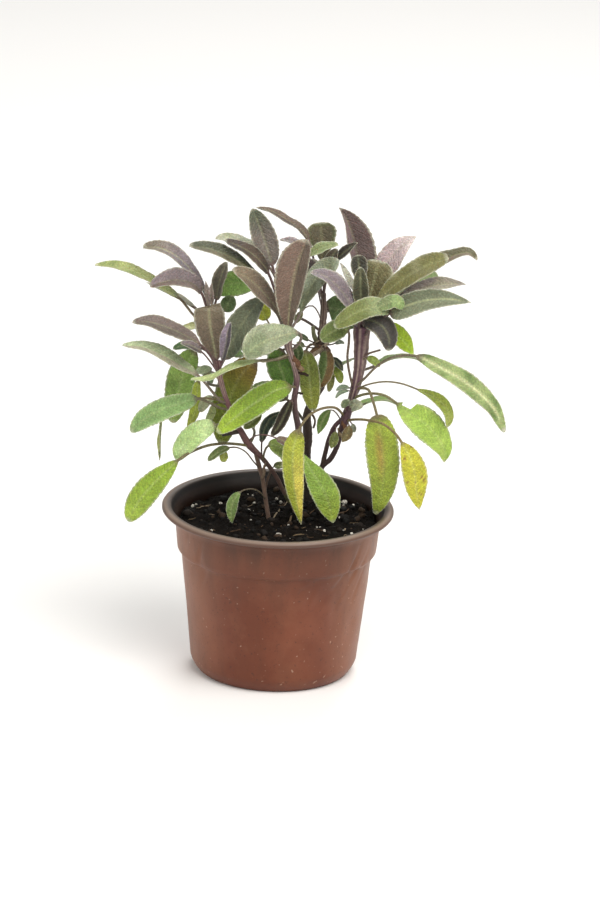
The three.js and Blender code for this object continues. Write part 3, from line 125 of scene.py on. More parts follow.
# A leaf is (name, width, turn at the base, turn at the tip, fold, outline, main colour, second colour,
# where the second colour shows, stalk points, blade points).
# Width is across the spread blade. Turn, in degrees, rolls the upper face from the viewer towards the
# right-hand side of someone walking from base to tip. Fold, in degrees, raises each half of the blade.
# Where the second colour covers one half of a folded blade, it is partly painted light and shade of the
# fold
LEFT_LEAVES = [
    ("long_arching", 13, 66, 62, 15, "oblong", "#989f60", "#838f50", "patch",
     [(-40.8, 200, 21), (-50.5, 206.5, 25), (-55, 212, 26.5)],
     [(-58.5, 216, 27), (-68, 221.6, 28), (-77, 227.3, 29), (-87, 232, 30), (-96, 234, 30),
      (-106.6, 234.2, 29)]),
    ("upper_mauve", 14, 62, 55, 18, "blunt", "#81767a", "#766c58", "tip",
     [(-41.5, 204, 23.5), (-42, 211, 26)],
     [(-44, 218, 28), (-50.5, 229.5, 27), (-58, 238, 26), (-66, 243.3, 25), (-73, 245.3, 24),
      (-79.7, 245, 22)]),
    ("folded_mauve", 16, 50, 45, 25, "oblong", "#76655c", "#87797a", "right",
     [(-41.3, 203, 22.5), (-44, 213, 17.5)],
     [(-46.8, 220, 15), (-52, 224.5, 13), (-60, 226.3, 12), (-68, 224.8, 11), (-75.2, 222.3, 11)]),
    ("upright_olive", 12, -50, -50, 15, "oblong", "#5c5648", "#8c8672", "rim",
     [(-41, 207, 24), (-39, 213, 26)],
     [(-38.3, 216, 27), (-37, 225, 28), (-34.8, 233, 30), (-33, 238.5, 31)]),
    ("bud_leaf_a", 4, 20, 20, 25, "pointed", "#b09c98", "#b8a8a0", "rim",
     [(-41.5, 208, 24)],
     [(-42.6, 212, 21.5), (-43.4, 219, 20), (-44.3, 226.5, 20)]),
    ("bud_leaf_b", 4, -20, -20, 25, "pointed", "#b09c98", "#b8a8a0", "rim",
     [(-41.3, 208, 24)],
     [(-40.6, 212, 22), (-41, 219, 22), (-41, 225.8, 22.5)]),
    ("green_behind", 15, 10, 10, 10, "oblong", "#8fb45e", "#a0c070", "patch",
     [(-40.8, 203, 22), (-40.5, 214, 30)],
     [(-39, 220, 34), (-33, 225, 37), (-25, 227, 40), (-15, 227, 42)]),
    ("green_round", 9, 0, 0, 8, "oblong", "#5c7046", "#6c8054", "rim",
     [(-40, 197, 19), (-36, 205, 27)],
     [(-34, 209.5, 29), (-31.5, 214, 31), (-29.5, 219, 33)]),
    ("pale_glimpse", 9, 65, 65, 10, "oblong", "#d4d49c", "#b8bc80", "patch",
     [(-40, 195, 18.5), (-43, 197.5, 22)],
     [(-46, 199, 24), (-51.5, 199.9, 26), (-57.5, 199.6, 28)]),
    ("dark_glimpse", 8, 50, 50, 10, "oblong", "#3f5a33", "#557044", "rim",
     [(-37.5, 181, 9), (-42, 185, 6)],
     [(-47, 187.3, 4), (-54, 188.3, 3), (-61.3, 186.2, 2)]),
    ("big_hanging", 16.5, 0, 10, 8, "oblong", "#789444", "#8aa454", "patch",
     [(-38.3, 185, 12), (-43, 187.5, 14)],
     [(-48.5, 185.5, 15), (-54, 177, 15), (-57.2, 165, 14), (-59, 153, 12), (-60.4, 142.6, 10)]),
    ("upper_rear", 15, 0, 0, 10, "oblong", "#6f8a50", "#5c7842", "patch",
     [(-41.5, 205, 23.5), (-41.5, 208.5, 32)],
     [(-41, 209.5, 37), (-41, 208.5, 46), (-41, 205, 56), (-41.5, 199, 66)]),
    ("tan_upright", 17.5, 0, 0, 6, "blunt", "#625545", "#82765e", "tip",
     [(-35.6, 173, -4.5)],
     [(-36.5, 180, -3.5), (-38.8, 190, -1), (-40.8, 200, 2), (-41.8, 207.5, 5.5), (-42, 210.8, 10.5),
      (-42, 210, 15)]),
    ("long_mauve", 15, 55, 55, 12, "oblong", "#5f5449", "#6c5f58", "right",
     [(-35.8, 173, -5), (-40, 182.5, -9)],
     [(-46, 188.8, -12), (-55, 194, -15), (-65, 198.2, -18), (-75, 200.8, -20), (-83.6, 200.4, -21)]),
    ("small_purple", 8, 55, 55, 12, "oblong", "#4e4444", "#685c5c", "right",
     [(-35.3, 172, -6), (-40, 179, -14)],
     [(-45, 184.6, -19), (-51, 187.7, -23), (-56.5, 189.1, -25)]),
    ("long_grey", 14, 58, 58, 14, "oblong", "#9aa680", "#9c9880", "left",
     [(-30, 155.5, -5), (-33.5, 156.2, -7), (-38, 161, -10), (-42.5, 166.5, -12)],
     [(-47, 171, -13), (-56, 176.3, -16), (-66, 181.6, -19), (-77, 186, -22), (-88.7, 186.8, -24)]),
    ("narrow_purple", 9, -50, -40, 20, "oblong", "#4f474f", "#8a7c8a", "left",
     [(-35.5, 173, -5.5)],
     [(-33.5, 180, -9), (-31.5, 190, -11), (-30.8, 197, -11), (-29.3, 202.6, -10)]),
    ("broad_grey", 17, -28, -28, 8, "oblong", "#5d634f", "#6b7058", "patch",
     [(-35.6, 174, -4)],
     [(-33, 181, -2.5), (-27.5, 193, -1), (-22, 204, 1), (-16, 213, 3), (-11.8, 217.2, 5)]),
    ("green_drooping", 14, 28, 20, 8, "oblong", "#7c9a5c", "#90a870", "rim",
     [(-28.5, 151.5, -5), (-33, 152, -7), (-40, 155.2, -11)],
     [(-46.5, 157.2, -14), (-56, 154, -16), (-66, 150, -17.5), (-76, 144, -18), (-83.2, 136.6, -17)]),
    ("thin_yellow", 9, 82, 82, 10, "pointed", "#98a048", "#a8b060", "tip",
     [(-29.5, 153.5, -5), (-36, 157, -4), (-48, 157.5, -4), (-60, 154.5, -5)],
     [(-66, 149, -6), (-66.9, 141, -5.5), (-67.3, 131, -4.5), (-67.2, 120.3, -4)]),
    ("yellow_hanging", 8, 40, 40, 10, "oblong", "#96a434", "#a4ae48", "tip",
     [(-34, 167.5, -4.5), (-38, 171.5, -1), (-43, 171.5, 2)],
     [(-46, 168, 3), (-47.3, 159, 4), (-48.2, 149, 5), (-51.8, 139.3, 5)]),
    ("grey_glimpse", 7, 45, 45, 10, "oblong", "#98a882", "#a4b28e", "tip",
     [(-34.8, 170, -4.5), (-37, 172.5, 0)],
     [(-40, 173.6, 5), (-44, 174.3, 9), (-48.3, 174.4, 11)]),
    ("grey_shoot_leaf", 6, -20, -20, 10, "oblong", "#a8ac88", "#b4b894", "tip",
     [(-31, 158, -5), (-35, 158.5, -3.5)],
     [(-38, 158.6, -2), (-42, 156, -1), (-45.3, 149.4, 0)]),
    ("green_shoot_leaf", 4.5, 0, 0, 10, "oblong", "#a0aa70", "#acb680", "rim",
     [(-30.3, 156, -5), (-35, 155.2, -1.5)],
     [(-38, 153.5, 0), (-38.6, 149, 0.5), (-41.5, 144.3, 1)]),
    ("pale_bent", 13.5, 18, 18, 8, "oblong", "#a2bc78", "#b4ca8c", "patch",
     [(-24, 141.5, -6), (-31, 142.3, -10)],
     [(-36, 142.3, -13), (-43, 139.3, -15), (-50, 133.5, -16), (-54.8, 127, -16), (-57.3, 120.6, -15)]),
    ("lower_rear", 15, 0, 0, 10, "oblong", "#6a8a4c", "#5a7a40", "patch",
     [(-35.6, 174, -3.5), (-33, 180, 6)],
     [(-31, 184, 14), (-27, 189, 26), (-25, 190, 38), (-24, 187, 50)]),
    ("mid_rear_left", 14, 85, 85, 10, "oblong", "#6a8650", "#7c9860", "tip",
     [(-33, 165, -5), (-40, 166, 5)],
     [(-42, 169, 16), (-44, 172, 30), (-47, 173, 42), (-51, 172, 54)]),
    ("low_rear_left", 13, 85, 85, 10, "oblong", "#86a04c", "#98b05c", "patch",
     [(-17, 131, -2), (-14.5, 138, 11)],
     [(-16, 142, 21), (-22, 146, 33), (-28, 148, 45), (-32, 147, 57)]),
    ("high_rear_left", 14, 80, 80, 10, "oblong", "#7c7a66", "#8c8478", "tip",
     [(-40.9, 203, 21.5), (-45, 207, 31)],
     [(-50, 211, 37), (-60, 217, 47), (-69, 221.5, 56), (-78, 226, 63)]),
    ("low_green", 15.5, 15, 15, 8, "wide_tip", "#829b2e", "#90a63b", "tip",
     [(-16.5, 130.4, -1.5), (-22, 131.2, -6), (-30, 131.5, -10), (-40, 130, -14), (-50, 125.4, -18)],
     [(-56, 120.9, -20), (-63, 113.6, -21.5), (-71, 104.6, -22), (-78, 95, -21), (-83.4, 83.8, -19)]),
    ("small_dark", 7, 48, 48, 12, "oblong", "#5c6a3a", "#707e4c", "rim",
     [(-11, 117.5, 3.5), (-14.5, 121.5, -3), (-19, 127, -8), (-24, 129.4, -12)],
     [(-28, 129.2, -14), (-33.5, 126.4, -16), (-39.8, 121, -17)]),
    ("small_round", 5, 0, 0, 10, "oblong", "#8b9440", "#a0a855", "tip",
     [(-25.5, 129.4, -12.8), (-28.5, 129, -12)],
     [(-30.2, 127, -11.5), (-31, 124, -11), (-31, 120.4, -10.5)]),
    ("soil_leaf", 7, 20, 20, 12, "pointed", "#6c8444", "#829a58", "tip",
     [(-7, 99, 3.2), (-10.5, 103.5, -4), (-15, 105.2, -10)],
     [(-21, 103.4, -15.5), (-24.6, 98, -17.5), (-25.7, 91, -18.5), (-25.3, 84.6, -18.3)]),
    ("shaded_rising", 8.5, 45, 45, 12, "oblong", "#2f3c31", "#4c5a46", "rim",
     [(-9.8, 122.8, 2), (-10.2, 128, 3)],
     [(-10.2, 133, 4), (-9, 141, 4.5), (-5.5, 147.5, 5), (1.2, 151, 5.5)]),
    ("blue_green", 11, -25, -25, 8, "oblong", "#7c8f45", "#8a9c50", "patch",
     [(-9, 121.5, 2.5), (-8.7, 126.5, -1)],
     [(-6.3, 131.3, -3), (-1.5, 131, -4), (3.5, 127.5, -5), (8, 120, -5)]),
    ("arc_leaf", 6, -30, -30, 10, "oblong", "#6b5a4d", "#7c6a58", "tip",
     [(-18, 131.6, -2.5), (-16.2, 135, -5), (-12, 137.2, -7), (-6, 137, -8.5)],
     [(-2, 135.6, -9), (3, 133.5, -9.5), (9, 130.5, -9.5)]),
    ("low_inner", 5, 30, 30, 10, "oblong", "#8f9a6a", "#9aa474", "tip",
     [(-5.6, 113, 5.6), (-4.5, 117, 8)],
     [(-3, 118.8, 9), (0, 120, 10), (3.5, 119.2, 11)]),
]
CENTRE_LEAVES = [
    ("great_upright", 24, -30, -30, 30, "spoon", "#705c4f", "#66584c", "right",
     [(2.8, 188, -8.5)],
     [(2.7, 195, -9.5), (3, 210, -11), (4.6, 226, -11), (7.5, 240, -9), (11.5, 252, -5)]),
    ("brown_left", 16, 45, 50, 12, "spoon", "#65574a", "#786a54", "tip",
     [(2, 194, -8)],
     [(0.5, 200, -7), (-5, 212, -4), (-13, 221.5, -5), (-21, 228.5, -9), (-29.3, 233, -12)]),
    ("long_dark", 14, 58, 58, 14, "blunt", "#4a4c38", "#5f5a42", "left",
     [(1.9, 194, -7), (-3, 207, 0), (-9, 220, 4)],
     [(-14, 228.3, 5), (-23, 236.3, 4), (-33, 241.6, 3), (-43, 245, 1), (-53.7, 246.3, 0)]),
    ("dark_brown", 13.5, 58, 58, 12, "oblong", "#3f342b", "#54473c", "patch",
     [(2, 195, -7.5), (-3, 212, 1), (-6.3, 224, 7)],
     [(-9.5, 232, 8.5), (-15, 239.5, 8), (-23, 245.5, 7), (-34.2, 250.3, 6)]),
    ("upright_grey", 15.5, 5, 5, 25, "oblong", "#706860", "#545a48", "tip",
     [(2.3, 198, -7.5), (-1, 214, 8), (-5, 228, 15)],
     [(-7.5, 237, 18), (-11, 248, 20), (-15, 259, 21), (-19.6, 269.6, 20)]),
    ("pale_behind", 12, 60, 60, 12, "oblong", "#a3a58d", "#8c9070", "patch",
     [(2.6, 193, -6.5), (2, 207, 8), (-5.5, 230, 25)],
     [(-13, 241, 26), (-22, 248.7, 27), (-31, 252.4, 26), (-39.6, 251.9, 24)]),
    ("pale_edged", 11, -58, -58, 10, "oblong", "#7c8858", "#a2ac80", "rim",
     [(2.7, 196, -7), (3.5, 210, 13), (9, 234, 20.5)],
     [(13, 243.8, 20), (20, 248.3, 18), (28.8, 250.4, 17)]),
    ("grey_right", 15, -35, -35, 10, "spoon", "#98a088", "#7c8268", "patch",
     [(3.3, 198, -8), (6.8, 204.5, -3)],
     [(8.5, 208, -1), (12, 219, 3), (18, 231, 4.5), (29.5, 241, 3)]),
    ("shaded_right", 13, -20, -20, 10, "blunt", "#3d3536", "#574c4a", "rim",
     [(3.3, 197, -8), (4.5, 206, 6)],
     [(6, 211, 10), (9, 222, 13), (12.5, 232, 14.5), (17, 241, 14.5)]),
    ("yellow_behind", 9, 0, 0, 10, "oblong", "#a8b03c", "#b0b848", "tip",
     [(3, 191, -8), (-3, 196, 4), (-7, 201, 10)],
     [(-9.5, 205, 12), (-12, 210, 13), (-13.8, 214.5, 13)]),
    ("rear_spreading", 14, 80, 80, 10, "oblong", "#6c7f4c", "#84965c", "patch",
     [(8, 168, -3), (4, 173, 8), (0, 177, 18)],
     [(-3, 180, 26), (-7, 184, 38), (-10, 186, 50), (-12, 185.5, 62)]),
    ("pale_band", 12, 72, 72, 10, "oblong", "#b4c284", "#98a866", "patch",
     [(4.5, 185.5, -8), (-4, 181.8, -12), (-10.5, 180.2, -14)],
     [(-13, 180.7, -15), (-22, 178.3, -17), (-32, 173.8, -21), (-41, 169, -23), (-50.5, 168.3, -23)]),
    ("olive_hanging", 20, 5, 18, 6, "oblong", "#74802a", "#86702c", "base",
     [(5, 184, -7), (-4, 181.6, -5), (-10, 181.2, -2)],
     [(-14.5, 180.3, 1), (-22.5, 172.5, 5), (-28, 160, 6), (-31, 146, 6), (-32.6, 130.6, 4)]),
    ("sage_broad", 22, 38, 38, 18, "wide_tip", "#989f80", "#848f6c", "patch",
     [(3.8, 187, -8.5), (8.2, 190.5, -12), (10, 195.5, -15)],
     [(8.3, 197.6, -17), (0, 195.5, -20), (-8, 192.6, -22), (-15, 188.3, -23), (-21.2, 182.3, -23)]),
    ("green_below", 15, 0, 10, 8, "oblong", "#456420", "#54722a", "patch",
     [(4, 188.5, -8)],
     [(0, 187.5, -4), (-2.2, 181, -3), (0.5, 173, -3), (3.5, 164, -4)]),
    ("dark_below", 6, 0, 0, 10, "oblong", "#3a4c22", "#4c6030", "rim",
     [(4, 191, -8)],
     [(6.5, 190.5, -4), (8.5, 187, -1), (9, 181.5, 1)]),
    ("lime", 15.5, 15, 15, 8, "oblong", "#6e8724", "#90a830", "tip",
     [(8, 166, -2.6)],
     [(5.3, 166, -8), (-3, 163.6, -13), (-12, 157.5, -17), (-22, 149.6, -20), (-30, 142.3, -21),
      (-35, 137.7, -21)]),
    ("shaded_hanging", 7, 20, 20, 10, "oblong", "#2c241a", "#40382a", "rim",
     [(7.8, 164, -2)],
     [(5.7, 158.5, -3), (2.8, 151, -4), (-1, 142.5, -4), (-5, 136.8, -4)]),
    ("torn_dark", 6, 0, 0, 10, "oblong", "#4e5624", "#6a7238", "rim",
     [(8, 167.5, -3), (0, 164.5, -5), (-8, 157, -8)],
     [(-11.3, 150.5, -10), (-15, 145.5, -11), (-20.3, 140.6, -12)]),
    ("green_hanging", 16, -12, -12, 6, "spear", "#7c983a", "#9cb044", "tip",
     [(10.2, 134.5, 11), (8.8, 137, 5), (9.3, 133.5, -1)],
     [(12, 128.3, -4), (16.5, 120, -7), (22, 111.3, -9), (27, 102.3, -10), (31.5, 86.8, -9)]),
]
BACK_LEAVES = [
    ("thin_arch", 11.5, 66, 62, 14, "tapered", "#4e4038", "#66564a", "right",
     [(21.7, 218, 21.5), (16.5, 237, 24)],
     [(12.5, 251.5, 27), (7.5, 258.5, 28), (0, 263.8, 28), (-8, 268.3, 27), (-17.3, 271, 25)]),
    ("pale_mauve", 8, 62, 62, 10, "pointed", "#b8a8a8", "#c0b2b2", "rim",
     [(21.4, 211, 20), (15.5, 235, 33)],
     [(10, 249, 36), (3.5, 252, 36), (-3.8, 252.9, 36)]),
    ("curled_olive", 17, 0, 0, 6, "fan", "#5b5440", "#586038", "rim",
     [(21.8, 221, 22), (21.3, 234, 29)],
     [(20, 240, 31), (20, 249, 34), (19.3, 257, 36), (18.6, 263.8, 38)]),
    ("mauve_small", 8, -30, -30, 10, "oblong", "#443e30", "#4a4236", "tip",
     [(21.8, 218, 21), (22.5, 228, 14)],
     [(23, 235, 10), (25.3, 242, 9), (28.3, 247.6, 9)]),
    ("dark_pointed", 7.5, -45, -45, 12, "pointed", "#38302a", "#463c34", "rim",
     [(21.7, 220, 21.5), (23.5, 232, 16)],
     [(26, 239.6, 12), (31, 244.5, 9), (39.2, 251.6, 5)]),
    ("arc_small", 4, 0, 0, 10, "oblong", "#7a7a58", "#8a8a66", "tip",
     [(21.5, 203, 18), (19, 210, 13), (15.7, 214, 9.5), (12.3, 213.3, 8)],
     [(10, 210.5, 7.5), (8, 207, 7), (6.3, 203.5, 7)]),
    ("green_broad", 19, -5, -5, 8, "oblong", "#566c3e", "#6c8450", "patch",
     [(21.7, 206, 19), (22.5, 210, 23)],
     [(23.8, 213, 25), (29, 213, 27), (35, 209.5, 29), (41, 203.5, 30)]),
    ("olive_front", 12, 0, 0, 8, "oblong", "#66702a", "#8e9438", "tip",
     [(20.5, 190, 16), (15.5, 191.5, 9)],
     [(13, 188, 5), (14.6, 178, 4), (15.8, 167, 4), (18, 152.4, 5)]),
    ("olive_beside", 9.5, -8, -8, 8, "oblong", "#4c6028", "#66502c", "left",
     [(22.5, 189.5, 17.2), (22.5, 190.5, 12)],
     [(23.5, 189, 8.5), (24.5, 182, 7.5), (23.5, 174, 7), (20.5, 166, 7.5)]),
    ("knob_dark", 4.5, -20, -20, 10, "pointed", "#2c3328", "#475040", "rim",
     [(25, 183, 17.3), (26.3, 185.3, 14)],
     [(27.5, 184.5, 12), (30.5, 181.5, 10), (34, 176.5, 9)]),
    ("knob_yellow", 5, 0, 0, 10, "oblong", "#86963a", "#98a650", "tip",
     [(25.4, 180, 18.6)],
     [(28.7, 178.2, 14), (31.5, 174.5, 12), (33, 169.2, 11)]),
    ("knob_olive", 4.2, 0, 0, 10, "oblong", "#8a8a50", "#98985c", "tip",
     [(25.4, 178, 19)],
     [(27.7, 175.6, 16), (27.3, 170, 15), (26.3, 164, 15)]),
    ("knob_grey", 3.4, -40, -40, 10, "oblong", "#7a8676", "#8e9888", "tip",
     [(23.5, 191.5, 17), (27, 191.8, 14)],
     [(29, 192.8, 12), (31.5, 193.3, 10), (34, 192.8, 9)]),
    ("knob_left", 4, 40, 40, 10, "oblong", "#3c4a33", "#566448", "rim",
     [(20, 191.5, 16.8), (15.8, 193.2, 12)],
     [(14, 194, 10), (11, 195.5, 8), (7.8, 197, 7)]),
    ("knob_lower", 3.4, 40, 40, 10, "oblong", "#6a7050", "#808663", "tip",
     [(19.5, 189.6, 16), (14, 189.7, 11)],
     [(12, 190.3, 9), (10, 191.3, 8), (7.5, 192.3, 7.5)]),
    ("top_rear", 15, 0, 0, 10, "oblong", "#6c7550", "#7c6a60", "tip",
     [(21.8, 216, 21), (20, 222, 34)],
     [(18, 226, 42), (16, 229, 52), (15, 230, 62), (15, 228, 72)]),
    ("left_rear", 15, 80, 80, 10, "oblong", "#6e7256", "#7e6e66", "tip",
     [(21.5, 199, 18), (13, 205, 28)],
     [(5, 209, 36), (-4, 213.5, 46), (-12, 220.5, 56), (-19, 227, 63)]),
    ("right_rear", 14, -80, -80, 10, "oblong", "#66804a", "#7c9658", "tip",
     [(22.5, 168, 21), (26, 174, 31)],
     [(30, 178, 39), (35, 182, 50), (38.5, 184, 61)]),
    ("side_rear", 14, 0, 0, 10, "oblong", "#66784a", "#7c8a58", "patch",
     [(21.9, 210, 20), (25, 212, 35)],
     [(29, 213, 43), (34, 213, 53), (38, 210, 63)]),
    ("mid_rear", 15, 0, 0, 10, "oblong", "#5f7a44", "#769056", "patch",
     [(18.5, 160, 22.5), (17.5, 164, 33)],
     [(17, 167, 40), (16, 168.5, 52), (15, 166, 66)]),
    ("low_rear", 14, 20, 20, 10, "oblong", "#6a8840", "#88a050", "tip",
     [(15.2, 143, 25.6), (9, 152, 34)],
     [(3, 159, 42), (-6, 162.5, 50), (-14, 161, 58), (-21, 155, 64)]),
]
